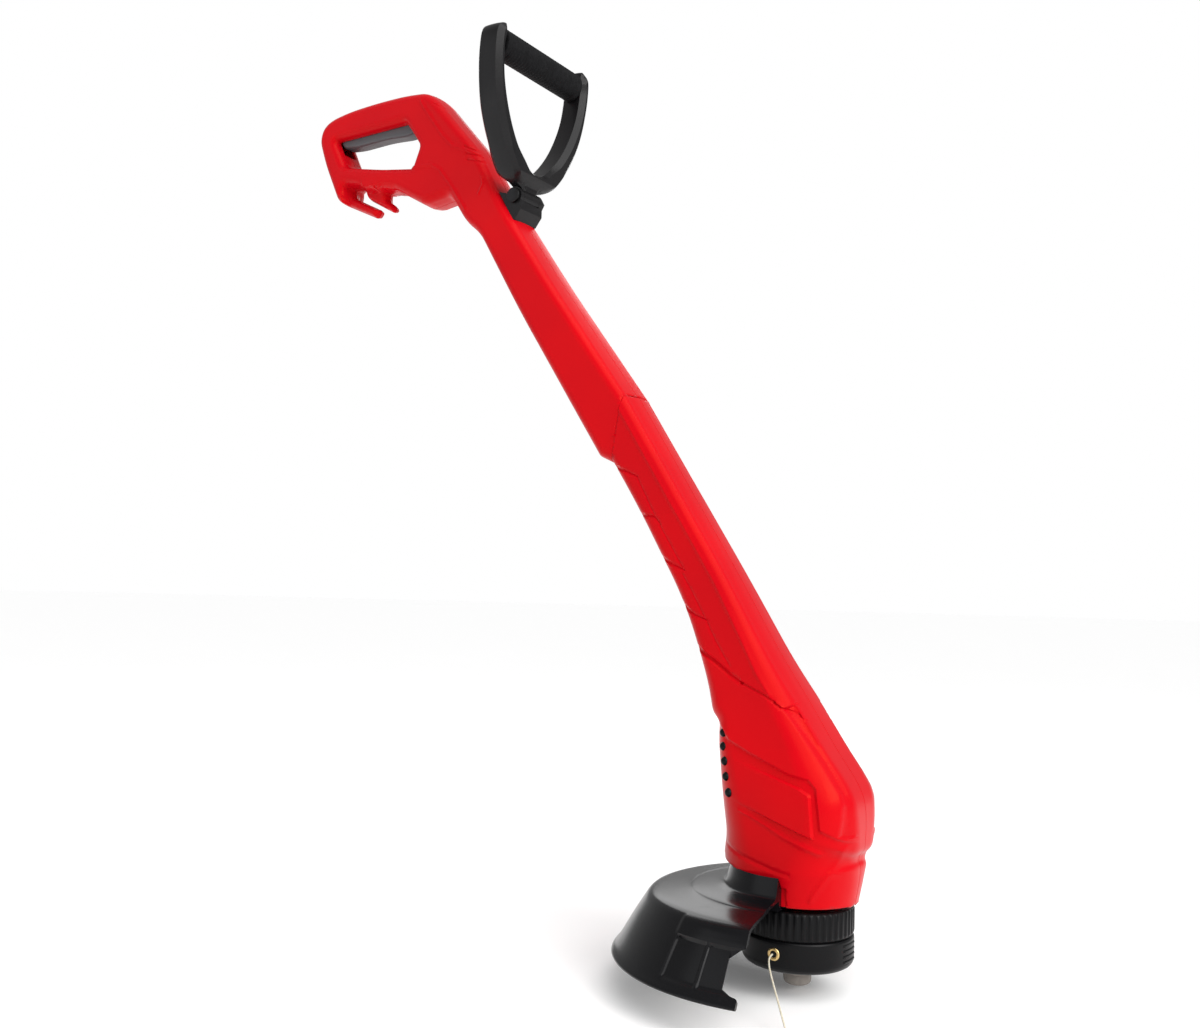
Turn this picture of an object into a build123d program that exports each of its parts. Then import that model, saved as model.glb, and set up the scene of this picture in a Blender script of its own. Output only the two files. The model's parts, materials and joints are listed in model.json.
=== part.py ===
"""Mains string trimmer: rear grip at the origin, spool axis along Z, nose along X.

Millimetres, +Z up, +X forward, +Y to the user's left. The origin is the middle of the
rear grip. The head datum, where the spool axis meets the spool's bottom face, lies
HEAD_AHEAD in front of the grip and HEAD_BELOW under it, and most outlines are drawn from it.
"""

from build123d import *

import os
from dataclasses import dataclass
from math import cos, pi, radians, sin, tan

os.makedirs("parts", exist_ok=True)

# ---------------------------------------------------------------- driving dimensions
HEAD_AHEAD = 480.0  # grip middle to spool axis
HEAD_BELOW = 764.0  # grip middle to spool bottom
WALL = 2.6  # red shell walls
FIT = 0.05  # radial clearance of every running fit
GAP = 0.3  # between separate bodies that don't touch
PLAY = 0.1  # between pieces of one body

# rear handle
HANDLE_HALF = 18.0
TRIGGER_HALF = 8.0
TRIGGER_PIN_R = 2.0
PIN_REACH = HANDLE_HALF - 1.0
TRIGGER_AT = (-424.0, 757.0)
TRIGGER_EYE_R = 5.5
PLUNGER_X = -470.0
PLUNGER_R = 2.0
SPRING_X = -510.0
INLET_MOUTH = (-428.0, 672.5)
INLET_RUN = (38.0, -21.0)
INLET_LONG = 37.0
INLET_WIDE = 17.0
INLET_WALL = 1.6
INLET_DEEP = 18.0
PIN_R = 2.0
PIN_APART = 19.0
SPRING_LOW = 752.5
SPRING_HIGH = 776.0
SPRING_R = 4.0
SWITCH_LOW = 763.0
SWITCH_HIGH = 776.4
SWITCH_LONG = 27.0
SWITCH_HALF = 7.0
PLUNGER_LOW = 752.6
PLUNGER_LONG = 15.0

# shaft
SHAFT_TOP_HALF = 22.0
SHAFT_HALF = 25.0
SEAM_FRONT = (-160.0, 452.0)
SEAM_REAR = (-184.0, 399.0)
SEAM_LOW_FRONT = (-159.6, 451.4)
SEAM_LOW_REAR = (-169.5, 392.5)

# loop handle
LOOP_PIVOT = (-291.0, 650.0)
LOOP_TILT = 4.0
LOOP_BAND = 28.0
LOOP_REACH = 129.0  # pivot to the middle of the grip
GRIP_HALF = 58.0
GRIP_R = 13.5
GRIP_BAR_R = 8.0
PIVOT_R = 4.0
HUB_R = 8.5
HUB_HALF = 11.0
EAR = 5.0

# motor housing
HOUSING_FLOOR = 50.0
FLOOR_THICK = 3.0
NECK_R = 44.0
NECK_TOP = 90.0
COLLAR_FRONT = 10.0
COLLAR_FRONT_TOP = 64.0
COLLAR_SLOPE = 11.0 / 56.0

# motor
MOTOR_R = 27.0
MOTOR_WALL = 2.0
MOTOR_BASE = 79.0
MOTOR_LENGTH = 66.0
SHAFT_R = 4.0
ROTOR_R = 18.0
FAN_R = 31.0

LEDGE_R = 33.0
LEDGE_TOP = 75.0
LEDGE_THICK = 3.0
CAP_R = 38.0
MOTOR_SCREW_R = 35.5
MOTOR_SCREW_ANGLES = (45, 135, 225, 315)
BEARING_R = 9.0
BEARING_LONG = 4.0
BRUSH_MID = 15.0
BRUSH_LONG = 10.0
BRUSH_WIDE = 5.0
BRUSH_HIGH = 6.0
ROTOR_LOW = 86.0
ROTOR_LONG = 40.0
COMMUTATOR_R = 9.5
SHAFT_LOW = 20.0
FAN_LOW = 60.5
FAN_HIGH = 10.0
SHAFT_PASS_R = 12.0
SLEEVE_WALL = 2.0
SLEEVE_PLAY = 0.6

# spool head
HEAD_R = 43.0
HEAD_PLATE = 3.0
HUB_TOP_R = 10.0
SPIGOT_R = 8.0
RING_RIBS = 48
POST_LOW = 8.0
POST_TOP = 41.3
POST_FLANGE_R = 12.0
CAP_FLOOR = 3.0
SPOOL_LOW = 6.0
SPOOL_HIGH = 26.0
SPOOL_CORE_R = 11.0
EYELET_R = 3.6
HEAD_TOP = 46.3
HEAD_SPLIT = 24.0
POST_R = 6.0
SPOOL_R = 36.0
KNOB_R = 11.0
KNOB_DROP = 17.0
EYELET_Z = 14.4
LINE_D = 1.4

# guard
GUARD_SWEEP = 179.0
GUARD_WALL = 2.5
GUARD_TOP_R = 111.0
GUARD_TOP = 51.5
GUARD_RIM_R = 143.0
GUARD_RIM = 3.0

FLANGE_LOW = 47.5
GUARD_START = 99.0
GUARD_SCREW_R = 33.0
GUARD_SCREW_ANGLES = (120, 240)
CUTTER_THICK = 1.2
CUTTER_BLADE = [(117, 6), (139.5, 6), (119, 42), (117, 40)]
CUTTER_BLOCK = [(119, 12), (136.5, 12), (124.7, 32), (119, 32)]
CUTTER_SCREWS = [(126, 17), (122, 26)]
GUARD_PROFILE = [
    (22, HOUSING_FLOOR),
    (NECK_R, HOUSING_FLOOR),
    (NECK_R, 82),
    (49, 82),
    (51, 67),
    (60, 57.5),
    (GUARD_TOP_R, GUARD_TOP),
    (117, 48.5),
    (GUARD_RIM_R, 5),
    (GUARD_RIM_R + 1.5, GUARD_RIM),
    (GUARD_RIM_R - 2.4, GUARD_RIM),
    (114.6, 47),
    (109.5, GUARD_TOP - GUARD_WALL),
    (60, 55),
    (50, 55),
    (50, FLANGE_LOW),
    (22, FLANGE_LOW),
]

# loop outline, right half: distance from the middle and height above the pivot
LOOP_OUTER = [(25, 13), (33, 20), (50, 42), (62, 65), (68, 86), (72, 114), (71, 138), (64, 143)]
LOOP_INNER = [(10, 22), (26, 38), (40, 56), (51, 78), (57.9, 100), (60, 125), (57.9, 144)]

MOUNT_OUTLINE = [
    (-322, 655),
    (-306, 625),
    (-290, 627),
    (-283, 636),
    (-283, 645),
    (-296, 652),
    (-311, 657),
]

# trigger, round from its front lip
TRIGGER_OUTLINE = [
    (-428, 755),
    (-436, 752.2),
    (-531, 752.2),
    (-531, 756),
    (-540, 756),
    (-540, 753.2),
    (-534.6, 753.2),
    (-533, 751),
    (-533, 747),
    (-529.5, 743),
    (-512, 741),
    (-470, 741.5),
    (-440, 739),
    (-430, 741),
    (-421, 752),
]
TRIGGER_SLOT = [(-535, 745), (-535, 757), (-418, 757), (-418, 750), (-431, 738)]

# solid region round the cable hooks
HOOK_REGION = [(-700, 600), (-700, 703), (-505, 703), (-480, 697), (-447, 690), (-447, 600)]
PRONG_REGION = [(-521, 640), (-521, 699), (-496, 696), (-490, 691), (-468, 688), (-456, 684), (-456, 640)]
PRONG_HALF = 7.0

# coupling inside the shaft's joint
SLEEVE_REAR = (-272.0, 533.5)
SLEEVE_UP = 0.72
SLEEVE_DOWN = 0.45

# electric parts in the handle
CAPACITOR_AT = (-393.0, 711.0)
CAPACITOR_SIZE = (18.0, 22.0)
CAPACITOR_TILT = -12.0
CAPACITOR_HALF = 8.0
BOARD_AT = (-481.0, 702.6)
BOARD_SIZE = (24.0, 1.6)
BOARD_HALF = 12.0

# leads, as points from the head datum
MOTOR_CABLE = [
    (-456, 0, 770),
    (-425, 0, 769),
    (-400, 0, 757),
    (-385, 0, 735),
    (-352, 0, 700),
    (-329, 0, 667),
    (-256, 0, 555),
    (-166, 0, 430),
    (-118, 0, 366),
    (-70, 0, 288),
    (-34, 0, 219),
    (-20, 0, 185),
    (-14, 0, 154.2),
]
SUPPLY_CABLE = [
    (-419, 5, 691),
    (-411, 5, 706),
    (-406, 5, 730),
    (-408, 5, 755),
    (-425, 5, 770),
    (-456, 5, 771),
]
MOTOR_CABLE_R = 2.5
SUPPLY_CABLE_R = 1.5
CUTTING_LINE = [
    (-1, -39, 14.4),
    (-1, -48, 14),
    (3, -57, 11),
    (10, -67, 6),
    (19, -78, -1),
    (28, -89, -8.5),
    (36.7, -99.4, -15.8),
    (41, -104.5, -19.5),
]

# screws
SCREW_R = 1.5
SCREW_HEAD_R = 3.0
SCREW_HEAD = 2.0
BOSS_R = 4.2
SCREW_SEAT = 9.0  # head seat, to the right of the mid plane
SCREW_REACH = 8.0  # tip, to the left of it
SCREW_DRIVE = 1.0  # depth of the drive recess
UPPER_BOSSES = [(-547, 752), (-398, 735), (-372, 690), (-268, 547)]
LOWER_BOSSES = [(-130, 357), (-82, 280), (-48, 205), (43, 118), (-44, 118)]

# vent slots at the back of the motor housing
VENT_COUNT = 6
VENT_PITCH = 10.0
VENT_LOW = 96.0
VENT_HIGH = 4.0
VENT_LONG = 40.0
VENT_WIDE = 14.0
VENT_AT = (-52.0, 40.0)

# reach of a cut or a rib that is trimmed by the shell around it
FAR = 90.0
BELOW = 30.0
HANDLE_FAR = 40.0

SPOOL_AXIS = Axis((HEAD_AHEAD, 0, -HEAD_BELOW), (0, 0, 1))


# ---------------------------------------------------------------- planes and helpers
def level(height: float) -> Plane:
    """Horizontal plane at a height above the head datum."""
    return Plane(origin=(HEAD_AHEAD, 0, height - HEAD_BELOW))


def side(y: float = 0.0) -> Plane:
    """Upright fore-and-aft plane at y. Its x runs forward and its y runs up."""
    return Plane(origin=(HEAD_AHEAD, y, -HEAD_BELOW), x_dir=(1, 0, 0), z_dir=(0, -1, 0))


def radial(angle: float) -> Plane:
    """Upright plane through the spool axis. Its x runs outward at the given angle."""
    a = radians(angle)
    return Plane(
        origin=(HEAD_AHEAD, 0, -HEAD_BELOW),
        x_dir=(cos(a), sin(a), 0),
        z_dir=(sin(a), -cos(a), 0),
    )


def save(piece: Part, name: str) -> None:
    """Label a finished piece and write its STEP."""
    piece.label = name
    export_step(piece, f"parts/{name}.step")


def cylinder_y(at: tuple, radius: float, low: float, high: float) -> Part:
    """Cylinder along Y from low to high, about the point at = (x, height)."""
    with BuildPart() as body:
        with BuildSketch(side(high)):
            with Locations(at):
                Circle(radius)
        extrude(amount=high - low)
    return body.part


def cylinder_z(at: tuple, radius: float, low: float, high: float) -> Part:
    """Upright cylinder between two heights, about the point at = (x, y)."""
    with BuildPart() as body:
        with BuildSketch(level(low)):
            with Locations(at):
                Circle(radius)
        extrude(amount=high - low)
    return body.part


def ring_z(outer: float, inner: float, low: float, high: float) -> Part:
    """Ring about the spool axis."""
    with BuildPart() as body:
        with BuildSketch(level(low)):
            Circle(outer)
            Circle(inner, mode=Mode.SUBTRACT)
        extrude(amount=high - low)
    return body.part


def polar_spots(radius: float, angles: tuple) -> list:
    """Points at a radius from the spool axis, one at each angle."""
    return [(radius * cos(radians(a)), radius * sin(radians(a))) for a in angles]


def slab(points: list, half: float) -> Part:
    """Upright plate of a fore-and-aft outline, half wide each side of the mid plane."""
    with BuildPart() as body:
        with BuildSketch(side()):
            with BuildLine():
                Polyline(*points, close=True)
            make_face()
        extrude(amount=half, both=True)
    return body.part


@dataclass(frozen=True)
class Station:
    """One cross-section of the body, from a rear point to a front point."""

    front: tuple
    rear: tuple
    half: float
    radius: float

    def plane(self) -> Plane:
        """Plane of the section, with x from rear to front and y to the left."""
        run = Vector(self.front[0] - self.rear[0], 0, self.front[1] - self.rear[1])
        mid_x = (self.front[0] + self.rear[0]) / 2 + HEAD_AHEAD
        mid_z = (self.front[1] + self.rear[1]) / 2 - HEAD_BELOW
        return Plane(origin=(mid_x, 0, mid_z), x_dir=run, z_dir=run.cross(Vector(0, 1, 0)))

    def depth(self) -> float:
        """Distance from the rear point to the front point."""
        return Vector(self.front[0] - self.rear[0], 0, self.front[1] - self.rear[1]).length


def tube(stations: list, inset: float) -> Part:
    """Body through the stations, drawn in by the inset all round."""
    with BuildPart() as body:
        for station in stations:
            with BuildSketch(station.plane()):
                RectangleRounded(
                    station.depth() - 2 * inset,
                    2 * (station.half - inset),
                    max(station.radius - inset, 1.5),
                )
        loft(ruled=True)
    return body.part


# ---------------------------------------------------------------- shell outlines
HANDLE_OUTLINE = [
    (-296, 634),
    (-338, 703),
    (-380, 749),
    (-397, 768),
    (-410, 776),
    (-437, 779),
    (-475, 780),
    (-515, 779),
    (-544, 775),
    (-556, 767),
    (-560, 753),
    (-550, 726),
    (-529, 684),
    (-483, 663),
    (-478, 669),
    (-517, 688),
    (-519, 700),
    (-499, 695),
    (-494, 684),
    (-459, 665),
    (-458, 670),
    (-468, 677),
    (-468, 687),
    (-447, 683),
    (-409, 662),
    (-402, 661),
    (-373, 665),
    (-350, 634),
    (-334, 622),
]
HAND_HOLE = [
    (-535, 750),
    (-519, 719),
    (-468, 708),
    (-424, 701),
    (-415, 722),
    (-428, 740),
    (-436, 750),
]
UPPER_STATIONS = [
    Station((-322, 672), (-349, 653.5), 19.0, 8),
    Station((-300, 640), (-330.5, 619), SHAFT_TOP_HALF, 9),
    Station((-245, 563), (-280, 539), 23.0, 10),
    Station(SEAM_FRONT, SEAM_REAR, SHAFT_HALF, 10),
    Station(SEAM_LOW_FRONT, SEAM_LOW_REAR, SHAFT_HALF, 10),
]
LOWER_STATIONS = [
    Station(SEAM_LOW_FRONT, SEAM_LOW_REAR, SHAFT_HALF, 10),
    Station((-108, 373), (-141, 350), 25.0, 10),
    Station((-58, 297), (-94, 272), 26.0, 10),
    Station((-17, 231), (-68, 196), 32.0, 13),
    Station((30, 165), (-60, 165), 41.0, 18),
    Station((53, 130), (-57, 130), 46.0, 22),
    Station((54, 96), (-54, 96), 47.0, 28),
    Station((51, 72), (-57, 72), 48.0, 43),
    Station((46, HOUSING_FLOOR), (-46, HOUSING_FLOOR), 46.0, 45.5),
]


def between(a: Station, b: Station, share: float) -> Station:
    """Section a share of the way from one station to the next."""

    def mix(p: float, q: float) -> float:
        return p + (q - p) * share

    return Station(
        (mix(a.front[0], b.front[0]), mix(a.front[1], b.front[1])),
        (mix(a.rear[0], b.rear[0]), mix(a.rear[1], b.rear[1])),
        mix(a.half, b.half),
        mix(a.radius, b.radius),
    )


def handle_body(inset: float) -> Part:
    """Rear handle with its hand hole, drawn in by the inset."""
    with BuildPart() as body:
        with BuildSketch(side()):
            with BuildLine():
                Polyline(*HANDLE_OUTLINE, close=True)
            make_face()
            with BuildLine():
                Polyline(*HAND_HOLE, close=True)
            make_face(mode=Mode.SUBTRACT)
            if inset:
                offset(amount=-inset, kind=Kind.INTERSECTION)
        extrude(amount=HANDLE_HALF - inset, both=True)
    return body.part


def split_halves(whole: Part, name: str) -> None:
    """Cut a shell at the mid plane and save its right and left halves."""
    for half_name, keep in ((f"{name}_right", Keep.TOP), (f"{name}_left", Keep.BOTTOM)):
        with BuildPart() as half:
            add(whole)
            split(bisect_by=Plane.XZ, keep=keep)
        save(half.part, half_name)


def boss_holes(points: list, half: float) -> Part:
    """Screw holes of a pair of shells: a head seat from the right, then the shank."""
    with BuildPart() as holes:
        for at in points:
            add(cylinder_y(at, SCREW_R + PLAY, -half, SCREW_REACH + PLAY))
            add(cylinder_y(at, SCREW_HEAD_R + PLAY, -half, -SCREW_SEAT))
    return holes.part


def shell_screws(points: list, name: str) -> None:
    """Identical screws that close a pair of shells, seated SCREW_SEAT right of the middle."""
    with BuildPart() as screws:
        for at in points:
            add(cylinder_y(at, SCREW_R, -SCREW_SEAT, SCREW_REACH))
            add(cylinder_y(at, SCREW_HEAD_R, -SCREW_SEAT - SCREW_HEAD, -SCREW_SEAT))
            drive = cylinder_y(at, SCREW_HEAD_R / 3, -SCREW_SEAT - SCREW_HEAD, -SCREW_SEAT - SCREW_DRIVE)
            add(drive, mode=Mode.SUBTRACT)
    save(screws.part, name)


# ---------------------------------------------------------------- upper shells
inlet_run = Vector(INLET_RUN[0], 0, INLET_RUN[1]).normalized()
INLET = Plane(
    origin=(INLET_MOUTH[0] + HEAD_AHEAD, 0, INLET_MOUTH[1] - HEAD_BELOW),
    x_dir=inlet_run,
    z_dir=inlet_run.cross(Vector(0, 1, 0)) * -1,
)
trigger_slot = slab(TRIGGER_SLOT, TRIGGER_HALF + GAP)
hooks_keep = slab(HOOK_REGION, HANDLE_FAR)

with BuildPart() as upper_cavity:
    add(handle_body(WALL))
    add(hooks_keep, mode=Mode.SUBTRACT)
    add(tube(UPPER_STATIONS, WALL))

with BuildPart() as prong_sides:
    add(slab(PRONG_REGION, HANDLE_FAR))
    add(slab(PRONG_REGION, PRONG_HALF), mode=Mode.SUBTRACT)

with BuildPart() as upper_form:
    add(handle_body(0))
    add(prong_sides.part, mode=Mode.SUBTRACT)
    add(tube(UPPER_STATIONS, 0))

with BuildPart() as upper_bosses:
    for boss in UPPER_BOSSES:
        add(cylinder_y(boss, BOSS_R, -HANDLE_FAR, HANDLE_FAR))
    add(cylinder_y(TRIGGER_AT, TRIGGER_EYE_R - 0.5, -HANDLE_FAR, HANDLE_FAR))
    eye_room = TRIGGER_HALF + GAP
    add(cylinder_y(TRIGGER_AT, TRIGGER_EYE_R, -eye_room, eye_room), mode=Mode.SUBTRACT)
    add(upper_cavity.part, mode=Mode.INTERSECT)

with BuildPart() as upper_shell:
    add(upper_form.part)
    add(upper_cavity.part, mode=Mode.SUBTRACT)
    add(upper_bosses.part)
    add(boss_holes(UPPER_BOSSES, HANDLE_FAR), mode=Mode.SUBTRACT)
    add(cylinder_y(TRIGGER_AT, TRIGGER_PIN_R, -PIN_REACH, PIN_REACH), mode=Mode.SUBTRACT)
    add(trigger_slot, mode=Mode.SUBTRACT)
    with BuildSketch(INLET.offset(5)):
        RectangleRounded(INLET_LONG, INLET_WIDE, 4)
    extrude(amount=-(INLET_DEEP + INLET_WALL + 5), mode=Mode.SUBTRACT)
split_halves(upper_shell.part, "upper_shell")
shell_screws(UPPER_BOSSES, "upper_shell_screws")

# ---------------------------------------------------------------- lower shells
def collar_top(x: float) -> float:
    """Height of the red lower edge above the guard's collar."""
    return COLLAR_FRONT_TOP + (COLLAR_FRONT - x) * COLLAR_SLOPE


collar_zone = slab(
    [
        (-FAR, BELOW),
        (-FAR, collar_top(-FAR)),
        (COLLAR_FRONT, COLLAR_FRONT_TOP),
        (COLLAR_FRONT, BELOW),
    ],
    FAR,
)
collar_roof = slab(
    [
        (-FAR, BELOW),
        (-FAR, collar_top(-FAR) + WALL),
        (COLLAR_FRONT + WALL, COLLAR_FRONT_TOP + WALL),
        (COLLAR_FRONT + WALL, BELOW),
    ],
    FAR,
)

with BuildPart() as lower_form:
    add(tube(LOWER_STATIONS, 0))
    add(collar_zone, mode=Mode.SUBTRACT)
    add(cylinder_z((0, 0), NECK_R, HOUSING_FLOOR, NECK_TOP))

with BuildPart() as lower_cavity:
    add(tube(LOWER_STATIONS, WALL))
    add(collar_roof, mode=Mode.SUBTRACT)
    add(cylinder_z((0, 0), FAR, BELOW, HOUSING_FLOOR + FLOOR_THICK), mode=Mode.SUBTRACT)
    add(cylinder_z((0, 0), NECK_R - WALL, HOUSING_FLOOR + FLOOR_THICK, NECK_TOP))

with BuildPart() as lower_ribs:
    add(ring_z(80, LEDGE_R, LEDGE_TOP - LEDGE_THICK, LEDGE_TOP))
    for boss in LOWER_BOSSES:
        add(cylinder_y(boss, BOSS_R, -60, 60))
    for spot in polar_spots(GUARD_SCREW_R, GUARD_SCREW_ANGLES):
        add(cylinder_z(spot, BOSS_R, HOUSING_FLOOR, HOUSING_FLOOR + 9))
    add(lower_form.part, mode=Mode.INTERSECT)
    add(cylinder_z((0, 0), MOTOR_R + 1.5, LEDGE_TOP, 160), mode=Mode.SUBTRACT)

with BuildPart() as lower_shell:
    add(lower_form.part)
    add(lower_cavity.part, mode=Mode.SUBTRACT)
    add(lower_ribs.part)
    add(boss_holes(LOWER_BOSSES, 60), mode=Mode.SUBTRACT)
    add(cylinder_z((0, 0), SHAFT_PASS_R, 40, 60), mode=Mode.SUBTRACT)
    for spot in polar_spots(GUARD_SCREW_R, GUARD_SCREW_ANGLES):
        add(cylinder_z(spot, SCREW_R + PLAY, 40, HOUSING_FLOOR + 8), mode=Mode.SUBTRACT)
    for spot in polar_spots(MOTOR_SCREW_R, MOTOR_SCREW_ANGLES):
        add(cylinder_z(spot, SCREW_R, LEDGE_TOP - LEDGE_THICK - 1, LEDGE_TOP + 1), mode=Mode.SUBTRACT)
    for row in range(VENT_COUNT):
        low = VENT_LOW + row * VENT_PITCH
        for hand in (-1, 1):
            with BuildSketch(level(low)):
                with Locations((VENT_AT[0], hand * VENT_AT[1])):
                    Rectangle(VENT_LONG, VENT_WIDE)
            extrude(amount=VENT_HIGH, mode=Mode.SUBTRACT)
split_halves(lower_shell.part, "lower_shell")
shell_screws(LOWER_BOSSES, "lower_shell_screws")

# ---------------------------------------------------------------- shaft coupling
sleeve_stations = [
    between(
        Station(UPPER_STATIONS[2].front, SLEEVE_REAR, UPPER_STATIONS[2].half, 10),
        LOWER_STATIONS[0],
        SLEEVE_UP,
    ),
    LOWER_STATIONS[0],
    between(LOWER_STATIONS[0], LOWER_STATIONS[1], SLEEVE_DOWN),
]
with BuildPart() as shaft_coupling:
    add(tube(sleeve_stations, WALL + SLEEVE_PLAY))
    add(tube(sleeve_stations, WALL + SLEEVE_PLAY + SLEEVE_WALL), mode=Mode.SUBTRACT)
save(shaft_coupling.part, "shaft_coupling")

# ---------------------------------------------------------------- trigger and switch
with BuildPart() as trigger:
    with BuildSketch(side()):
        with BuildLine():
            Polyline(*TRIGGER_OUTLINE, close=True)
        make_face()
    extrude(amount=TRIGGER_HALF, both=True)
    add(cylinder_y(TRIGGER_AT, TRIGGER_EYE_R, -TRIGGER_HALF, TRIGGER_HALF))
    add(cylinder_y(TRIGGER_AT, TRIGGER_PIN_R + FIT, -20, 20), mode=Mode.SUBTRACT)
save(trigger.part, "trigger")

save(cylinder_y(TRIGGER_AT, TRIGGER_PIN_R, -PIN_REACH, PIN_REACH), "trigger_pin")

with BuildPart() as trigger_spring:
    with BuildSketch(level(SPRING_LOW)):
        with Locations((SPRING_X, 0)):
            Circle(SPRING_R)
            Circle(SPRING_R - 1, mode=Mode.SUBTRACT)
    extrude(amount=SPRING_HIGH - SPRING_LOW)
save(trigger_spring.part, "trigger_spring")

with BuildPart() as power_switch:
    with BuildSketch(side()):
        with Locations((PLUNGER_X, (SWITCH_LOW + SWITCH_HIGH) / 2)):
            Rectangle(SWITCH_LONG, SWITCH_HIGH - SWITCH_LOW)
    extrude(amount=SWITCH_HALF, both=True)
    fillet(power_switch.edges().filter_by(Axis.Y), 0.8)
    add(cylinder_z((PLUNGER_X, 0), PLUNGER_R + FIT, SWITCH_LOW, SWITCH_HIGH - 1.5), mode=Mode.SUBTRACT)
save(power_switch.part, "power_switch")
save(cylinder_z((PLUNGER_X, 0), PLUNGER_R, PLUNGER_LOW, PLUNGER_LOW + PLUNGER_LONG), "switch_plunger")

# ---------------------------------------------------------------- inlet and electrics
with BuildPart() as mains_inlet:
    with BuildSketch(INLET):
        RectangleRounded(INLET_LONG - 2 * PLAY, INLET_WIDE - 2 * PLAY, 3.9)
    extrude(amount=-(INLET_DEEP + INLET_WALL))
    with BuildSketch(INLET):
        RectangleRounded(INLET_LONG - 2 * INLET_WALL, INLET_WIDE - 2 * INLET_WALL, 3)
    extrude(amount=-INLET_DEEP, mode=Mode.SUBTRACT)
save(mains_inlet.part, "mains_inlet")

with BuildPart() as inlet_pins:
    with BuildSketch(INLET.offset(-INLET_DEEP)):
        with GridLocations(PIN_APART, 0, 2, 1):
            Circle(PIN_R)
    extrude(amount=INLET_DEEP)
save(inlet_pins.part, "inlet_pins")

with BuildPart() as capacitor:
    with BuildSketch(side()):
        with Locations(CAPACITOR_AT):
            Rectangle(*CAPACITOR_SIZE, rotation=CAPACITOR_TILT)
    extrude(amount=CAPACITOR_HALF, both=True)
save(capacitor.part, "capacitor")

with BuildPart() as rectifier_board:
    with BuildSketch(side()):
        with Locations(BOARD_AT):
            Rectangle(*BOARD_SIZE)
    extrude(amount=BOARD_HALF, both=True)
save(rectifier_board.part, "rectifier_board")


def swept(points: list, radius: float, name: str) -> Part:
    """Round lead through head-datum points, as straight runs joined by tangent arcs."""
    route = [Vector(x + HEAD_AHEAD, y, z - HEAD_BELOW) for x, y, z in points]
    radii = []
    for before, corner, after in zip(route, route[1:], route[2:]):
        run_in = corner - before
        run_out = after - corner
        turn = radians(run_in.get_angle(run_out))
        radii.append(0.45 * min(run_in.length, run_out.length) / tan(turn / 2))
    with BuildPart() as lead:
        with BuildLine() as path:
            FilletPolyline(*route, radius=radii)
        with BuildSketch(path.line ^ 0):
            Circle(radius)
        sweep()
    length = sum(edge.length for edge in path.edges())
    print(name, "radii", [round(r, 1) for r in radii], "length", round(length, 1))
    print(name, "volume", round(lead.part.volume, 1), "by length", round(length * pi * radius**2, 1))
    return lead.part


save(swept(MOTOR_CABLE, MOTOR_CABLE_R, "motor_cable"), "motor_cable")
save(swept(SUPPLY_CABLE, SUPPLY_CABLE_R, "supply_cable"), "supply_cable")

# ---------------------------------------------------------------- motor
with BuildPart() as motor_can:
    add(ring_z(MOTOR_R, MOTOR_R - MOTOR_WALL, MOTOR_BASE, MOTOR_BASE + MOTOR_LENGTH))
save(motor_can.part, "motor_can")

with BuildPart() as motor_bottom_cap:
    add(ring_z(CAP_R, BEARING_R, LEDGE_TOP, MOTOR_BASE))
    for spot in polar_spots(MOTOR_SCREW_R, MOTOR_SCREW_ANGLES):
        add(cylinder_z(spot, SCREW_R + PLAY, LEDGE_TOP, MOTOR_BASE), mode=Mode.SUBTRACT)
save(motor_bottom_cap.part, "motor_bottom_cap")

CAN_TOP = MOTOR_BASE + MOTOR_LENGTH
with BuildPart() as motor_top_cap:
    add(ring_z(MOTOR_R, BEARING_R, CAN_TOP, CAN_TOP + BEARING_LONG))
    for hand in (-1, 1):
        with BuildSketch(level(CAN_TOP)):
            with Locations((hand * BRUSH_MID, 0)):
                Rectangle(BRUSH_LONG, BRUSH_WIDE + 3)
        extrude(amount=-14)
        with BuildSketch(level(CAN_TOP - 11)):
            with Locations((hand * BRUSH_MID, 0)):
                Rectangle(BRUSH_LONG + 1, BRUSH_WIDE)
        extrude(amount=BRUSH_HIGH, mode=Mode.SUBTRACT)
save(motor_top_cap.part, "motor_top_cap")

with BuildPart() as carbon_brushes:
    with BuildSketch(level(CAN_TOP - 11)):
        with Locations((-BRUSH_MID, 0), (BRUSH_MID, 0)):
            Rectangle(BRUSH_LONG, BRUSH_WIDE)
    extrude(amount=BRUSH_HIGH)
save(carbon_brushes.part, "carbon_brushes")

with BuildPart() as field_magnets:
    add(ring_z(MOTOR_R - MOTOR_WALL, ROTOR_R + 0.6, ROTOR_LOW - 2, ROTOR_LOW + ROTOR_LONG + 2))
    with BuildSketch(level(ROTOR_LOW - 2)):
        Rectangle(80, 14)
    extrude(amount=ROTOR_LONG + 4, mode=Mode.SUBTRACT)
save(field_magnets.part, "field_magnets")

with BuildPart() as rotor_core:
    with BuildSketch(level(ROTOR_LOW)):
        Circle(ROTOR_R)
        with PolarLocations(ROTOR_R - 2, 12):
            Rectangle(6, 2.4, mode=Mode.SUBTRACT)
        Circle(SHAFT_R, mode=Mode.SUBTRACT)
    extrude(amount=ROTOR_LONG)
save(rotor_core.part, "rotor_core")
save(ring_z(COMMUTATOR_R, SHAFT_R, CAN_TOP - 14, CAN_TOP - 3), "commutator")
save(cylinder_z((0, 0), SHAFT_R, SHAFT_LOW, CAN_TOP + 8), "motor_shaft")
save(ring_z(BEARING_R, SHAFT_R + FIT, CAN_TOP, CAN_TOP + BEARING_LONG), "upper_bearing")
save(ring_z(BEARING_R, SHAFT_R + FIT, LEDGE_TOP, MOTOR_BASE), "lower_bearing")

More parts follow.
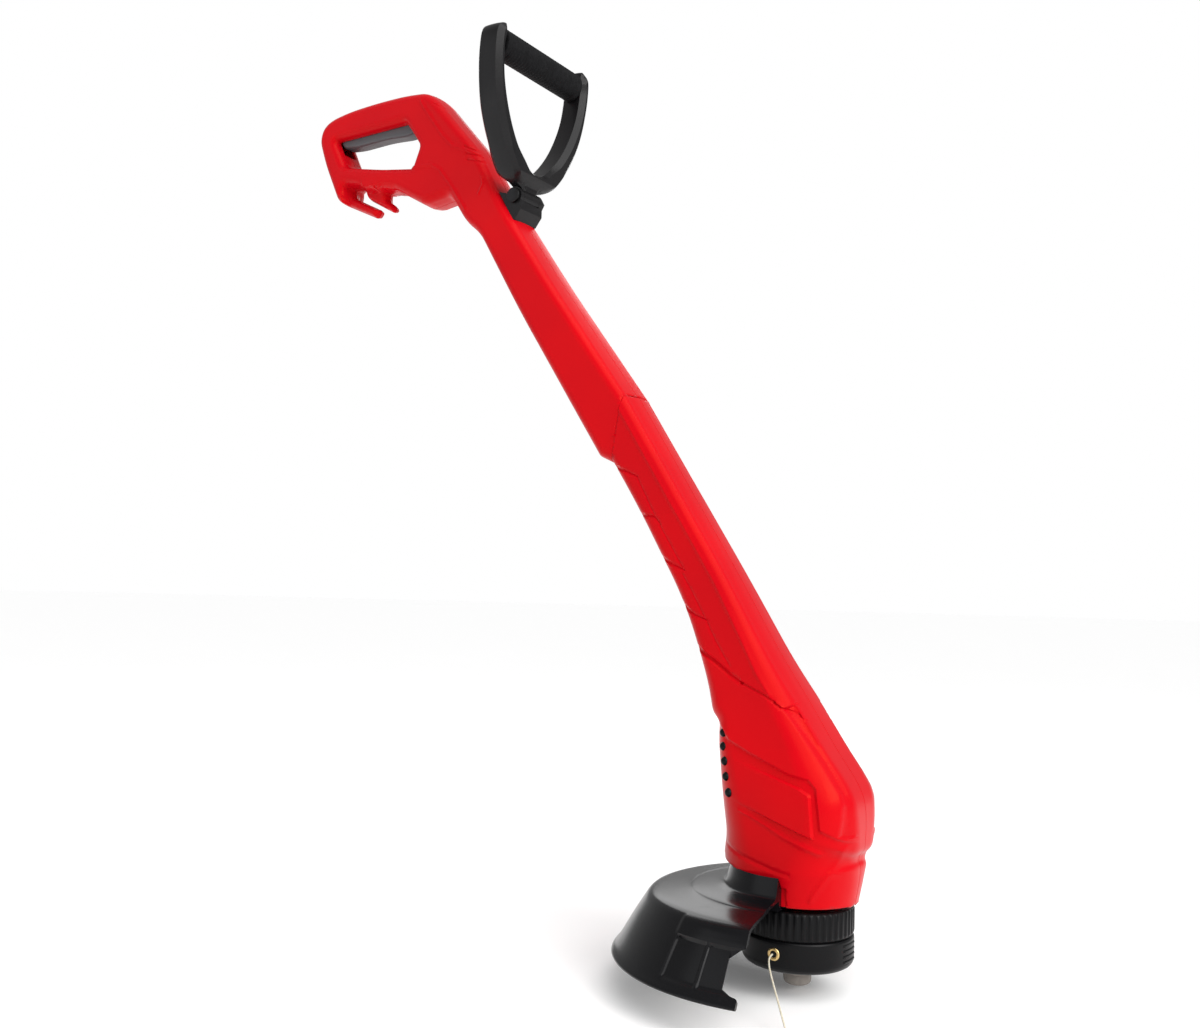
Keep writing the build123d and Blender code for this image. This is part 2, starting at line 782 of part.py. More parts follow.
with BuildPart() as motor_screws:
    for spot in polar_spots(MOTOR_SCREW_R, MOTOR_SCREW_ANGLES):
        add(cylinder_z(spot, SCREW_R, LEDGE_TOP - LEDGE_THICK, MOTOR_BASE))
        add(cylinder_z(spot, SCREW_HEAD_R, MOTOR_BASE, MOTOR_BASE + SCREW_HEAD))
save(motor_screws.part, "motor_screws")

with BuildPart() as cooling_fan:
    add(ring_z(HUB_TOP_R, SHAFT_R, FAN_LOW, FAN_LOW + FAN_HIGH))
    add(ring_z(FAN_R, SHAFT_R, FAN_LOW, FAN_LOW + 1.6))
    with BuildSketch(level(FAN_LOW)):
        with PolarLocations((FAN_R + HUB_TOP_R) / 2, 11):
            Rectangle(FAN_R - HUB_TOP_R - 0.5, 1.4, rotation=12)
    extrude(amount=FAN_HIGH)
save(cooling_fan.part, "cooling_fan")

# ---------------------------------------------------------------- spool head
with BuildPart() as drive_hub:
    add(cylinder_z((0, 0), HUB_TOP_R, HEAD_TOP, FAN_LOW - 1))
    add(cylinder_z((0, 0), SPIGOT_R, HEAD_TOP - HEAD_PLATE, HEAD_TOP))
    add(cylinder_z((0, 0), SHAFT_R, SHAFT_LOW, FAN_LOW), mode=Mode.SUBTRACT)
save(drive_hub.part, "drive_hub")

with BuildPart() as spool_housing:
    add(cylinder_z((0, 0), HEAD_R - 0.8, HEAD_SPLIT, HEAD_TOP))
    add(cylinder_z((0, 0), HEAD_R - 3.6, HEAD_SPLIT, HEAD_TOP - HEAD_PLATE), mode=Mode.SUBTRACT)
    with BuildSketch(level(HEAD_SPLIT + 1)):
        with PolarLocations(HEAD_R - 1, RING_RIBS):
            Rectangle(2, 2.2)
    extrude(amount=HEAD_TOP - HEAD_SPLIT - 3)
    add(cylinder_z((0, 0), SPIGOT_R, HEAD_TOP - HEAD_PLATE, HEAD_TOP), mode=Mode.SUBTRACT)
    add(ring_z(POST_FLANGE_R, SHAFT_R, POST_TOP, HEAD_TOP - HEAD_PLATE))
    add(ring_z(POST_R, SHAFT_R, POST_LOW, POST_TOP))
save(spool_housing.part, "spool_housing")

with BuildPart() as spool_cap:
    add(cylinder_z((0, 0), HEAD_R, 0, HEAD_SPLIT))
    fillet(spool_cap.edges().sort_by(Axis.Z)[0], 4)
    add(cylinder_z((0, 0), HEAD_R - 3, CAP_FLOOR, HEAD_SPLIT), mode=Mode.SUBTRACT)
    add(cylinder_z((0, 0), KNOB_R + GAP, -1, CAP_FLOOR), mode=Mode.SUBTRACT)
    for row in range(4):
        with BuildSketch(level(7 + 4 * row)):
            with Locations((HEAD_R - 0.6, 0), (0.6 - HEAD_R, 0)):
                Rectangle(2, 16)
        extrude(amount=2)
    with BuildSketch(side(-HEAD_R + 5)):
        with Locations((0, EYELET_Z)):
            Circle(EYELET_R)
    extrude(amount=10, mode=Mode.SUBTRACT)
save(spool_cap.part, "spool_cap")

with BuildPart() as line_eyelet:
    with BuildSketch(side(-HEAD_R + 3.5)):
        with Locations((0, EYELET_Z)):
            Circle(EYELET_R)
    extrude(amount=3.5)
    with BuildSketch(side(-HEAD_R)):
        with Locations((0, EYELET_Z)):
            Circle(EYELET_R + 1.4)
    extrude(amount=1.2)
    with BuildSketch(side(-HEAD_R + 5)):
        with Locations((0, EYELET_Z)):
            Circle(EYELET_R - 1.4)
    extrude(amount=10, mode=Mode.SUBTRACT)
    add(cylinder_z((0, 0), HEAD_R - 3, 0, HEAD_TOP), mode=Mode.SUBTRACT)
save(line_eyelet.part, "line_eyelet")

with BuildPart() as line_spool:
    add(cylinder_z((0, 0), SPOOL_R, SPOOL_LOW, SPOOL_LOW + 2))
    add(cylinder_z((0, 0), SPOOL_CORE_R, SPOOL_LOW, SPOOL_LOW + SPOOL_HIGH))
    add(cylinder_z((0, 0), SPOOL_R, SPOOL_LOW + SPOOL_HIGH - 2, SPOOL_LOW + SPOOL_HIGH))
    add(cylinder_z((0, 0), POST_R + FIT, 0, HEAD_TOP), mode=Mode.SUBTRACT)
save(line_spool.part, "line_spool")
save(ring_z(SPOOL_R - 5, SPOOL_CORE_R, SPOOL_LOW + 2, SPOOL_LOW + SPOOL_HIGH - 2), "wound_line")
save(
    ring_z(POST_R + 3, POST_R + 1.5, SPOOL_LOW + SPOOL_HIGH + GAP, POST_TOP),
    "spool_spring",
)

with BuildPart() as tap_knob:
    add(cylinder_z((0, 0), KNOB_R, -KNOB_DROP, CAP_FLOOR + 1))
    fillet(tap_knob.edges().sort_by(Axis.Z)[0], 2.5)
    add(cylinder_z((0, 0), KNOB_R + 3, CAP_FLOOR + GAP, SPOOL_LOW - GAP))
    add(cylinder_z((0, 0), POST_R + 0.4, -8, SPOOL_LOW), mode=Mode.SUBTRACT)
save(tap_knob.part, "tap_knob")

# ---------------------------------------------------------------- cutting line
save(swept(CUTTING_LINE, LINE_D / 2, "cutting_line"), "cutting_line")

# ---------------------------------------------------------------- guard
with BuildPart() as guard:
    with BuildSketch(radial(GUARD_START)):
        with BuildLine():
            Polyline(*GUARD_PROFILE, close=True)
        make_face()
    revolve(axis=SPOOL_AXIS, revolution_arc=GUARD_SWEEP)
    with BuildSketch(radial(GUARD_START)):
        Polygon(*CUTTER_BLOCK, align=None)
    extrude(amount=-7)
    add(
        slab([(-90, collar_top(-90)), (-90, 120), (30, 120), (30, collar_top(30))], 90),
        mode=Mode.SUBTRACT,
    )
    for spot in polar_spots(GUARD_SCREW_R, GUARD_SCREW_ANGLES):
        add(cylinder_z(spot, SCREW_R + PLAY, 40, HOUSING_FLOOR + 2), mode=Mode.SUBTRACT)
        add(cylinder_z(spot, SCREW_HEAD_R + PLAY, 40, FLANGE_LOW + 1.2), mode=Mode.SUBTRACT)
    with BuildSketch(radial(GUARD_START)):
        with Locations(*CUTTER_SCREWS):
            Circle(SCREW_R + PLAY)
    extrude(amount=-6, mode=Mode.SUBTRACT)
save(guard.part, "guard_hood")

with BuildPart() as guard_screws:
    for spot in polar_spots(GUARD_SCREW_R, GUARD_SCREW_ANGLES):
        add(cylinder_z(spot, SCREW_R, FLANGE_LOW, HOUSING_FLOOR + 7))
        add(cylinder_z(spot, SCREW_HEAD_R, FLANGE_LOW, FLANGE_LOW + 1.2))
save(guard_screws.part, "guard_screws")

with BuildPart() as line_cutter:
    with BuildSketch(radial(GUARD_START)):
        Polygon(*CUTTER_BLADE, align=None)
        with Locations(*CUTTER_SCREWS):
            Circle(SCREW_R + PLAY, mode=Mode.SUBTRACT)
    extrude(amount=CUTTER_THICK)
save(line_cutter.part, "line_cutter")

with BuildPart() as cutter_screws:
    with BuildSketch(radial(GUARD_START).offset(-5)):
        with Locations(*CUTTER_SCREWS):
            Circle(SCREW_R)
    extrude(amount=5 + CUTTER_THICK)
    with BuildSketch(radial(GUARD_START).offset(CUTTER_THICK)):
        with Locations(*CUTTER_SCREWS):
            Circle(SCREW_HEAD_R)
    extrude(amount=1.6)
save(cutter_screws.part, "cutter_screws")

# ---------------------------------------------------------------- loop handle
LOOP = Plane(
    origin=(LOOP_PIVOT[0] + HEAD_AHEAD, 0, LOOP_PIVOT[1] - HEAD_BELOW),
    x_dir=(0, 1, 0),
    z_dir=(cos(radians(LOOP_TILT)), 0, -sin(radians(LOOP_TILT))),
)


def mirrored(points: list) -> list:
    """Outline through the points and their mirror images, going round once."""
    return points + [(-x, y) for x, y in reversed(points)]


with BuildPart() as handle_mount:
    with BuildSketch(side()):
        with BuildLine():
            Polyline(*MOUNT_OUTLINE, close=True)
        make_face()
    extrude(amount=HUB_HALF + GAP + EAR, both=True)
    add(cylinder_y(LOOP_PIVOT, HUB_R, -HUB_HALF - GAP - EAR, HUB_HALF + GAP + EAR))
    add(cylinder_y(LOOP_PIVOT, HUB_R + 1.5, -HUB_HALF - GAP, HUB_HALF + GAP), mode=Mode.SUBTRACT)
    add(cylinder_y(LOOP_PIVOT, PIVOT_R, -40, 40), mode=Mode.SUBTRACT)
    add(upper_form.part, mode=Mode.SUBTRACT)
save(handle_mount.part, "handle_mount")

with BuildPart() as pivot_bolt:
    reach = HUB_HALF + GAP + EAR
    add(cylinder_y(LOOP_PIVOT, PIVOT_R, -reach, reach + 6))
    add(cylinder_y(LOOP_PIVOT, PIVOT_R + 3, -reach - 3, -reach))
save(pivot_bolt.part, "pivot_bolt")

with BuildPart() as pivot_nut:
    with BuildSketch(side(reach + 5)):
        with Locations(LOOP_PIVOT):
            RegularPolygon(7.5, 6)
            Circle(PIVOT_R, mode=Mode.SUBTRACT)
    extrude(amount=5)
save(pivot_nut.part, "pivot_nut")

with BuildPart() as assist_loop:
    with BuildSketch(LOOP):
        with BuildLine():
            Polyline(*mirrored(LOOP_OUTER), close=True)
        make_face()
        with BuildLine():
            Polyline(*mirrored(LOOP_INNER), close=True)
        make_face(mode=Mode.SUBTRACT)
    extrude(amount=LOOP_BAND / 2, both=True)
    with BuildSketch(LOOP):
        with Locations((0, 10)):
            Rectangle(2 * HUB_HALF, 20)
    extrude(amount=6, both=True)
    add(cylinder_y(LOOP_PIVOT, HUB_R, -HUB_HALF, HUB_HALF))
    grip_mid = LOOP.from_local_coords(Vector(0, LOOP_REACH, 0))
    grip_at = (grip_mid.X - HEAD_AHEAD, grip_mid.Z + HEAD_BELOW)
    add(cylinder_y(grip_at, GRIP_BAR_R, -GRIP_HALF - 4, GRIP_HALF + 4))
    add(cylinder_y(LOOP_PIVOT, PIVOT_R + FIT, -40, 40), mode=Mode.SUBTRACT)
save(assist_loop.part, "assist_loop")

with BuildPart() as assist_grip:
    add(cylinder_y(grip_at, GRIP_R, -GRIP_HALF, GRIP_HALF))
    add(cylinder_y(grip_at, GRIP_BAR_R, -GRIP_HALF, GRIP_HALF), mode=Mode.SUBTRACT)
    add(assist_loop.part, mode=Mode.SUBTRACT)
save(assist_grip.part, "assist_grip")
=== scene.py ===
"""A corded string trimmer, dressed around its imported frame.

Sizes are in millimetres from the head datum, the point where the spool axis meets the
spool's underside, and every mesh is put into the row frame in metres. The side plane runs
forward along x and up along z; the red shells are heights over that plane.
"""

import json
import logging
import math
from collections.abc import Callable
from dataclasses import dataclass, field
from enum import Enum

import bmesh
import bpy
import numpy as np
from mathutils import Matrix, Vector
from mathutils.geometry import delaunay_2d_cdt


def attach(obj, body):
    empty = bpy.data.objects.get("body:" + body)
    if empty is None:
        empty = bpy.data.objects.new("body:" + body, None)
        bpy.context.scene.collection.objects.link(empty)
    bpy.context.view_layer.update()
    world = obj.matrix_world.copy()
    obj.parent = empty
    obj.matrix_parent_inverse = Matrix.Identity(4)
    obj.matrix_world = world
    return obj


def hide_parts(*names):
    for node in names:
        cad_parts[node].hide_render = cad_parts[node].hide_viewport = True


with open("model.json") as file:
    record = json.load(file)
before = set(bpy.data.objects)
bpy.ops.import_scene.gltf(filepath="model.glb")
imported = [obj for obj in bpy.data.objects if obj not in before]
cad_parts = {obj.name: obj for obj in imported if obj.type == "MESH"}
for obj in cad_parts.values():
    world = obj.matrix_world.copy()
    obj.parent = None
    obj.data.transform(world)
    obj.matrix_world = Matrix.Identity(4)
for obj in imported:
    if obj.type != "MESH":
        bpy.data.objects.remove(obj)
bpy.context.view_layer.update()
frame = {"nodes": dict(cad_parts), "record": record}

LOG = logging.getLogger("trimmer")
MM = 0.001
HEAD = np.array([0.480, 0.0, -0.764])


def row(points: np.ndarray) -> np.ndarray:
    """Head-datum millimetres as row-frame metres."""
    return np.asarray(points, float) * MM + HEAD


def smooth(x: np.ndarray) -> np.ndarray:
    """Smooth step: 3x^2 - 2x^3 of x held to 0..1."""
    x = np.clip(x, 0.0, 1.0)
    return x * x * (3.0 - 2.0 * x)


# ------------------------------------------------------------------ node trees
class Wire:
    """A node's output that adds Math nodes when it is used in an expression."""

    def __init__(self, board: "Board", socket: bpy.types.NodeSocket) -> None:
        """Remember the board and the socket."""
        self.board = board
        self.socket = socket

    def _math(self, operation: str, first: object, second: object = 0.0) -> "Wire":
        """Add one Math node.

        Args:
            operation: the Math node's operation.
            first: its first value or wire.
            second: its second value or wire.

        Returns:
            The result as a wire.
        """
        node = self.board.node("ShaderNodeMath", {"operation": operation}, {0: first, 1: second})
        return Wire(self.board, node.outputs[0])

    def __add__(self, other: object) -> "Wire":
        """self + other."""
        return self._math("ADD", self, other)

    __radd__ = __add__

    def __mul__(self, other: object) -> "Wire":
        """self * other."""
        return self._math("MULTIPLY", self, other)

    __rmul__ = __mul__

    def __sub__(self, other: object) -> "Wire":
        """self - other."""
        return self._math("SUBTRACT", self, other)

    def __rsub__(self, other: object) -> "Wire":
        """other - self."""
        return self._math("SUBTRACT", other, self)

    def clamped(self) -> "Wire":
        """self held between 0 and 1."""
        node = self.board.node("ShaderNodeClamp", {}, {"Value": self})
        return Wire(self.board, node.outputs[0])

    def sine(self) -> "Wire":
        """Sine of self."""
        return self._math("SINE", self)

    def over(self, low: float, high: float) -> "Wire":
        """How far self is from low to high, held to 0..1."""
        return ((self - low) * (1.0 / (high - low))).clamped()


class Board:
    """The node tree of one material, ending in a Principled shader."""

    def __init__(self, name: str, constants: dict[str, object]) -> None:
        """Make the material and set the shader's constant sockets."""
        self.material = bpy.data.materials.new(name)
        self.material.use_nodes = True
        self.tree = self.material.node_tree
        self.shader = next(n for n in self.tree.nodes if n.type == "BSDF_PRINCIPLED")
        for socket, value in constants.items():
            self.shader.inputs[socket].default_value = value

    def node(self, kind: str, settings: dict, inputs: dict) -> bpy.types.Node:
        """Add a node.

        Args:
            kind: the node's type.
            settings: its own settings, set first; "stops" gives a ramp's (position, value) pairs.
            inputs: values or wires by socket name or number.

        Returns:
            The node.
        """
        node = self.tree.nodes.new(kind)
        for name, value in settings.items():
            if name == "stops":
                ramp = node.color_ramp
                while len(ramp.elements) < len(value):
                    ramp.elements.new(0.5)
                for element, (position, shade) in zip(ramp.elements, value):
                    element.position = position
                    element.color = (shade, shade, shade, 1.0)
            else:
                setattr(node, name, value)
        for name, value in inputs.items():
            socket = node.inputs[name]
            if isinstance(value, Wire):
                self.tree.links.new(value.socket, socket)
            elif isinstance(value, (tuple, list)) and socket.type == "RGBA":
                socket.default_value = (*value[:3], 1.0)
            else:
                socket.default_value = value
        return node

    def place(self, stretch: tuple[float, float, float] = (1.0, 1.0, 1.0)) -> Wire:
        """Object coordinates, stretched along each axis."""
        source = self.node("ShaderNodeTexCoord", {}, {})
        wire = Wire(self, source.outputs["Object"])
        if stretch == (1.0, 1.0, 1.0):
            return wire
        mapping = self.node("ShaderNodeMapping", {}, {"Vector": wire, "Scale": stretch})
        return Wire(self, mapping.outputs[0])

    def noise(self, scale: float, detail: float, at: Wire, roughness: float = 0.5) -> Wire:
        """Noise at a scale, as a wire around 0.5."""
        values = {"Scale": scale, "Detail": detail, "Roughness": roughness, "Vector": at}
        node = self.node("ShaderNodeTexNoise", {}, values)
        return Wire(self, node.outputs[0])

    def cells(self, scale: float, at: Wire) -> Wire:
        """Distance to the nearest of a field of cells."""
        node = self.node("ShaderNodeTexVoronoi", {}, {"Scale": scale, "Vector": at})
        return Wire(self, node.outputs["Distance"])

    def axis(self, which: int, at: Wire) -> Wire:
        """One coordinate of a place, in metres."""
        node = self.node("ShaderNodeSeparateXYZ", {}, {0: at})
        return Wire(self, node.outputs[which])

    def mix(self, share: object, low: object, high: object) -> Wire:
        """Colour from low to high by share."""
        node = self.node("ShaderNodeMix", {"data_type": "RGBA"}, {0: share, 6: low, 7: high})
        return Wire(self, node.outputs[2])

    def set(self, socket: str, value: Wire) -> None:
        """Feed a wire to a socket of the shader."""
        self.tree.links.new(value.socket, self.shader.inputs[socket])

    def relief(self, height: Wire, strength: float, distance: float) -> None:
        """Feed a bump of that height, in metres at full strength, to the shader's normal."""
        values = {"Strength": strength, "Distance": distance, "Height": height}
        bump = self.node("ShaderNodeBump", {}, values)
        self.set("Normal", Wire(self, bump.outputs[0]))


Colour = tuple[float, float, float]


@dataclass(frozen=True)
class Moulded:
    """Injection-moulded plastic: a slight tone drift, spark-eroded grain and fine handling marks."""

    name: str
    base: Colour
    tone: Colour
    mark: Colour
    gloss: float = 0.34
    grain: float = 1500.0
    depth: float = 0.00004
    marks: float = 0.25
    coat: float = 0.0
    specular: float = 0.5
    tint: Colour = (1.0, 1.0, 1.0)

    def build(self) -> bpy.types.Material:
        """Make the material."""
        board = Board(
            self.name,
            {
                "IOR": 1.49,
                "Coat Roughness": 0.12,
                "Coat Weight": self.coat,
                "Specular IOR Level": self.specular,
                "Specular Tint": (*self.tint, 1.0),
            },
        )
        at = board.place()
        drift = board.noise(9.0, 2.0, at)
        skin = board.noise(self.grain, 3.0, at)
        rub = board.noise(60.0, 6.0, board.place((1.0, 1.0, 0.18)), 0.7)
        scuff = rub.over(0.60, 0.74) * self.marks
        body = board.mix(drift.over(0.35, 0.65), self.base, self.tone)
        speckle = board.mix(skin.over(0.3, 0.9) * 0.16, body, self.mark)
        board.set("Base Color", board.mix(scuff, speckle, self.mark))
        board.set("Roughness", (drift - 0.5) * 0.10 + skin * 0.06 + scuff * 0.35 + self.gloss)
        board.relief(skin + rub * 0.4, 0.35, self.depth)
        return board.material


@dataclass(frozen=True)
class Foam:
    """Closed-cell foam: pores, and lumps whose colour follows their bump height, a painted highlight on the
    raised tops and painted shade in the hollows.
    """

    name: str

    def build(self) -> bpy.types.Material:
        """Make the material."""
        board = Board(self.name, {"Specular IOR Level": 0.15})
        at = board.place()
        pores = board.cells(900.0, at)
        lumps = board.noise(240.0, 4.0, at, 0.6)
        dark, pale = (0.002, 0.002, 0.0025), (0.008, 0.008, 0.009)
        # Painted highlight and shade: the colour rises with the same lumps noise that raises the bump.
        board.set("Base Color", board.mix(lumps.over(0.35, 0.75), dark, pale))
        board.set("Roughness", lumps * 0.15 + 0.66)
        board.relief(pores * 0.8 + lumps, 0.8, 0.0004)
        return board.material


class Lay(Enum):
    """How a metal's tool marks run."""

    TURNED = (1.0, 1.0, 30.0)
    DRAWN = (8.0, 8.0, 0.2)
    CAST = (1.0, 1.0, 1.0)
    STACKED = (0.02, 0.02, 14.0)


@dataclass(frozen=True)
class Metal:
    """Bare or plated metal with its tool marks and a little tarnish."""

    name: str
    base: Colour
    tarnish: Colour
    lay: Lay
    roughness: float = 0.3

    def build(self) -> bpy.types.Material:
        """Make the material."""
        board = Board(self.name, {"Metallic": 1.0})
        at = board.place()
        marks = board.noise(220.0, 3.0, board.place(self.lay.value))
        age = board.noise(70.0, 5.0, at, 0.65)
        board.set("Base Color", board.mix(age.over(0.45, 0.75), self.base, self.tarnish))
        board.set("Roughness", marks * 0.16 + age * 0.14 + self.roughness - 0.12)
        board.relief(marks, 0.4, 0.00004)
        return board.material


@dataclass(frozen=True)
class Nylon:
    """Extruded cutting line: slightly translucent, with drawn streaks."""

    name: str

    def build(self) -> bpy.types.Material:
        """Make the material."""
        board = Board(self.name, {"Subsurface Weight": 0.25, "Subsurface Radius": (0.002, 0.0018, 0.0012)})
        streaks = board.noise(700.0, 3.0, board.place((1.0, 1.0, 0.3)))
        board.set("Base Color", board.mix(streaks.over(0.3, 0.7), (0.80, 0.76, 0.62), (0.62, 0.57, 0.44)))
        board.set("Roughness", streaks * 0.2 + 0.28)
        board.relief(streaks, 0.3, 0.00005)
        return board.material


@dataclass(frozen=True)
class Winding:
    """Something wound in even turns about an upright axis: a coil of line or a spring, with painted shade
    between the turns.
    """

    name: str
    base: Colour
    # colour of the painted shade in the troughs between the turns
    shade: Colour
    pitch: float
    metallic: float = 0.0

    def build(self) -> bpy.types.Material:
        """Make the material. The turns are sin(2 pi z / pitch); the colour falls to the shade colour in the
        troughs between turns as painted shade, and dirt noise adds random tone.
        """
        board = Board(self.name, {"Metallic": self.metallic})
        at = board.place()
        turns = (board.axis(2, at) * (math.tau / self.pitch)).sine() * 0.5 + 0.5
        dirt = board.noise(300.0, 3.0, at)
        # Painted shade: darker in the troughs between turns, plus random dirt tone.
        board.set("Base Color", board.mix((turns * 0.8 + dirt * 0.3).clamped(), self.shade, self.base))
        board.set("Roughness", dirt * 0.2 + 0.3)
        board.relief(turns, 0.9, self.pitch * 0.4)
        return board.material


@dataclass(frozen=True)
class Laminate:
    """Glass-fibre board under green resist, with its weave just showing."""

    name: str

    def build(self) -> bpy.types.Material:
        """Make the material. The weave is sin(ax) times sin(ay)."""
        board = Board(self.name, {"Coat Weight": 0.3, "Coat Roughness": 0.15})
        at = board.place()
        pitch = math.tau / 0.0008
        weave = (board.axis(0, at) * pitch).sine() * (board.axis(1, at) * pitch).sine()
        stain = board.noise(120.0, 3.0, at)
        board.set("Base Color", board.mix(stain.over(0.3, 0.7), (0.02, 0.13, 0.05), (0.05, 0.22, 0.09)))
        board.set("Roughness", stain * 0.2 + 0.3)
        board.relief(weave, 0.4, 0.00005)
        return board.material


class Finishes:
    """Every finish of the trimmer, made once, by the record's material slot."""

    def __init__(self) -> None:
        """Make the finishes."""
        self.red = Moulded(
            "red_moulded", (0.585, 0.0012, 0.0070), (0.52, 0.0010, 0.0075), (0.74, 0.012, 0.012),
            gloss=0.27, marks=0.06, specular=0.24, tint=(1.0, 0.22, 0.08),
        ).build()
        self.black = Moulded(
            "black_moulded", (0.0018, 0.0018, 0.0022), (0.003, 0.003, 0.0035), (0.022, 0.022, 0.024),
            gloss=0.30, marks=0.15, specular=0.14,
        ).build()
        self.hood = Moulded(
            "black_hood", (0.0018, 0.0018, 0.0024), (0.003, 0.003, 0.004), (0.022, 0.022, 0.026),
            gloss=0.20, marks=0.12, grain=1100.0, depth=0.00003, specular=0.24,
        ).build()
        self.loop = Moulded(
            "black_loop", (0.0035, 0.0033, 0.0040), (0.006, 0.0055, 0.006), (0.03, 0.027, 0.03),
            gloss=0.30, marks=0.12, specular=0.26,
        ).build()
        self.trigger = Moulded(
            "trigger_grey", (0.058, 0.060, 0.066), (0.075, 0.077, 0.083), (0.15, 0.15, 0.16), gloss=0.42
        ).build()
        self.knob = Moulded(
            "knob_worn", (0.17, 0.145, 0.125), (0.26, 0.23, 0.205), (0.42, 0.38, 0.34),
            gloss=0.5, marks=0.85, depth=0.0002,
        ).build()
        self.inner = Moulded("inner_plastic", (0.5, 0.5, 0.47), (0.42, 0.42, 0.4), (0.6, 0.6, 0.57)).build()
        self.sheath = Moulded(
            "cable_sheath", (0.012, 0.012, 0.012), (0.02, 0.02, 0.02), (0.06, 0.06, 0.06), gloss=0.5
        ).build()
        self.foam = Foam("grip_foam").build()
        self.steel = Metal("zinc_steel", (0.60, 0.60, 0.61), (0.38, 0.37, 0.36), Lay.TURNED).build()
        self.brass = Metal("turned_brass", (0.80, 0.58, 0.26), (0.45, 0.30, 0.12), Lay.TURNED, 0.28).build()
        self.iron = Metal("stacked_iron", (0.24, 0.24, 0.25), (0.12, 0.11, 0.10), Lay.STACKED, 0.4).build()
        self.carbon = Metal(
            "sintered_carbon", (0.05, 0.05, 0.05), (0.025, 0.025, 0.025), Lay.CAST, 0.55
        ).build()
        self.blackened = Metal(
            "blackened_steel", (0.035, 0.035, 0.037), (0.02, 0.019, 0.018), Lay.TURNED, 0.4
        ).build()
        self.copper = Metal("machined_copper", (0.80, 0.37, 0.20), (0.35, 0.15, 0.09), Lay.DRAWN).build()
        self.line = Nylon("cutting_nylon").build()
        # The second colour of each winding is the painted shade between its turns.
        self.wound = Winding("wound_line", (0.80, 0.75, 0.62), (0.30, 0.26, 0.18), 0.0014).build()
        self.coil = Winding("spring_wire", (0.62, 0.62, 0.63), (0.10, 0.10, 0.10), 0.0024, 1.0).build()
        self.laminate = Laminate("resist_board").build()
        self.by_slot = {
            "red_shell": self.red,
            "black_shell": self.black,
            "grip_foam": self.foam,
            "trigger_grey": self.trigger,
            "knob_plastic": self.knob,
            "steel": self.steel,
            "brass": self.brass,
            "line_nylon": self.line,
            "iron": self.iron,
            "carbon": self.carbon,
            "copper": self.copper,
            "board_green": self.laminate,
            "cable_black": self.sheath,
            "inner_plastic": self.inner,
        }
        self.by_node = {
            "wound_line": self.wound,
            "trigger_spring": self.coil,
            "spool_spring": self.coil,
        }


# ------------------------------------------------------------------ meshes
class Skin:
    """Vertices and faces gathered from several surfaces, then made into one object."""

    def __init__(self) -> None:
        """Start empty."""
        self.points: list[np.ndarray] = []
        self.faces: list[np.ndarray] = []
        self.count = 0

    def add(self, points: np.ndarray, faces: np.ndarray, flip: bool = False) -> None:
        """Add points and the faces between them.

        Args:
            points: (n, 3) places in row-frame metres.
            faces: (m, 3) or (m, 4) indices into them.
            flip: turn the faces over.
        """
        self.points.append(np.asarray(points, float).reshape(-1, 3))
        faces = np.asarray(faces, int)
        self.faces.append((faces[:, ::-1] if flip else faces) + self.count)
        self.count += len(self.points[-1])

    def grid(
        self, surface: np.ndarray, wrap_u: bool = False, wrap_v: bool = False, flip: bool = False
    ) -> None:
        """Add a grid of points as quads.

        Args:
            surface: (u, v, 3) places in row-frame metres.
            wrap_u: close the grid round u.
            wrap_v: close the grid round v.
            flip: turn the faces over.
        """
        rows, columns = surface.shape[:2]
        index = np.arange(rows * columns).reshape(rows, columns)
        if wrap_u:
            index = np.concatenate([index, index[:1]], 0)
        if wrap_v:
            index = np.concatenate([index, index[:, :1]], 1)
        quads = np.stack([index[:-1, :-1], index[1:, :-1], index[1:, 1:], index[:-1, 1:]], -1)
        self.add(surface.reshape(-1, 3), quads.reshape(-1, 4), flip)

    def piece(
        self,
        name: str,
        finish: bpy.types.Material,
        crease: float = 38.0,
        outward: bool = True,
    ) -> bpy.types.Object:
        """Make the object.

        Args:
            name: the piece's name.
            finish: its material.
            crease: edges sharper than this many degrees stay sharp.
            outward: recalculate the normals to point outwards, for a closed piece.

        Returns:
            The object, linked to the scene.
        """
        points = np.concatenate(self.points)
        mesh = bpy.data.meshes.new(name)
        loops = np.concatenate([f.ravel() for f in self.faces])
        totals = np.concatenate([np.full(len(f), f.shape[1]) for f in self.faces])
        mesh.vertices.add(len(points))
        mesh.vertices.foreach_set("co", points.astype(np.float32).ravel())
        mesh.loops.add(len(loops))
        mesh.loops.foreach_set("vertex_index", loops.astype(np.int32))
        mesh.polygons.add(len(totals))
        starts = np.concatenate([[0], np.cumsum(totals)[:-1]])
        mesh.polygons.foreach_set("loop_start", starts.astype(np.int32))
        mesh.update(calc_edges=True)
        work = bmesh.new()
        work.from_mesh(mesh)
        bmesh.ops.remove_doubles(work, verts=work.verts, dist=0.00002)
        bmesh.ops.dissolve_degenerate(work, edges=work.edges, dist=0.000005)
        if outward:
            bmesh.ops.recalc_face_normals(work, faces=work.faces)
        work.to_mesh(mesh)
        work.free()
        mesh.polygons.foreach_set("use_smooth", np.ones(len(mesh.polygons), bool))
        mesh.set_sharp_from_angle(angle=math.radians(crease))
        mesh.materials.append(finish)
        thing = bpy.data.objects.new(name, mesh)
        bpy.context.scene.collection.objects.link(thing)
        return thing


def around(profile: np.ndarray, angles: np.ndarray) -> np.ndarray:
    """Profile (radius, height) turned about the spool axis, as an (angle, point, 3) grid in millimetres."""
    a = angles[:, None]
    r, z = profile[None, :, 0], profile[None, :, 1]
    return np.stack([r * np.cos(a), r * np.sin(a), z + 0.0 * a], -1)


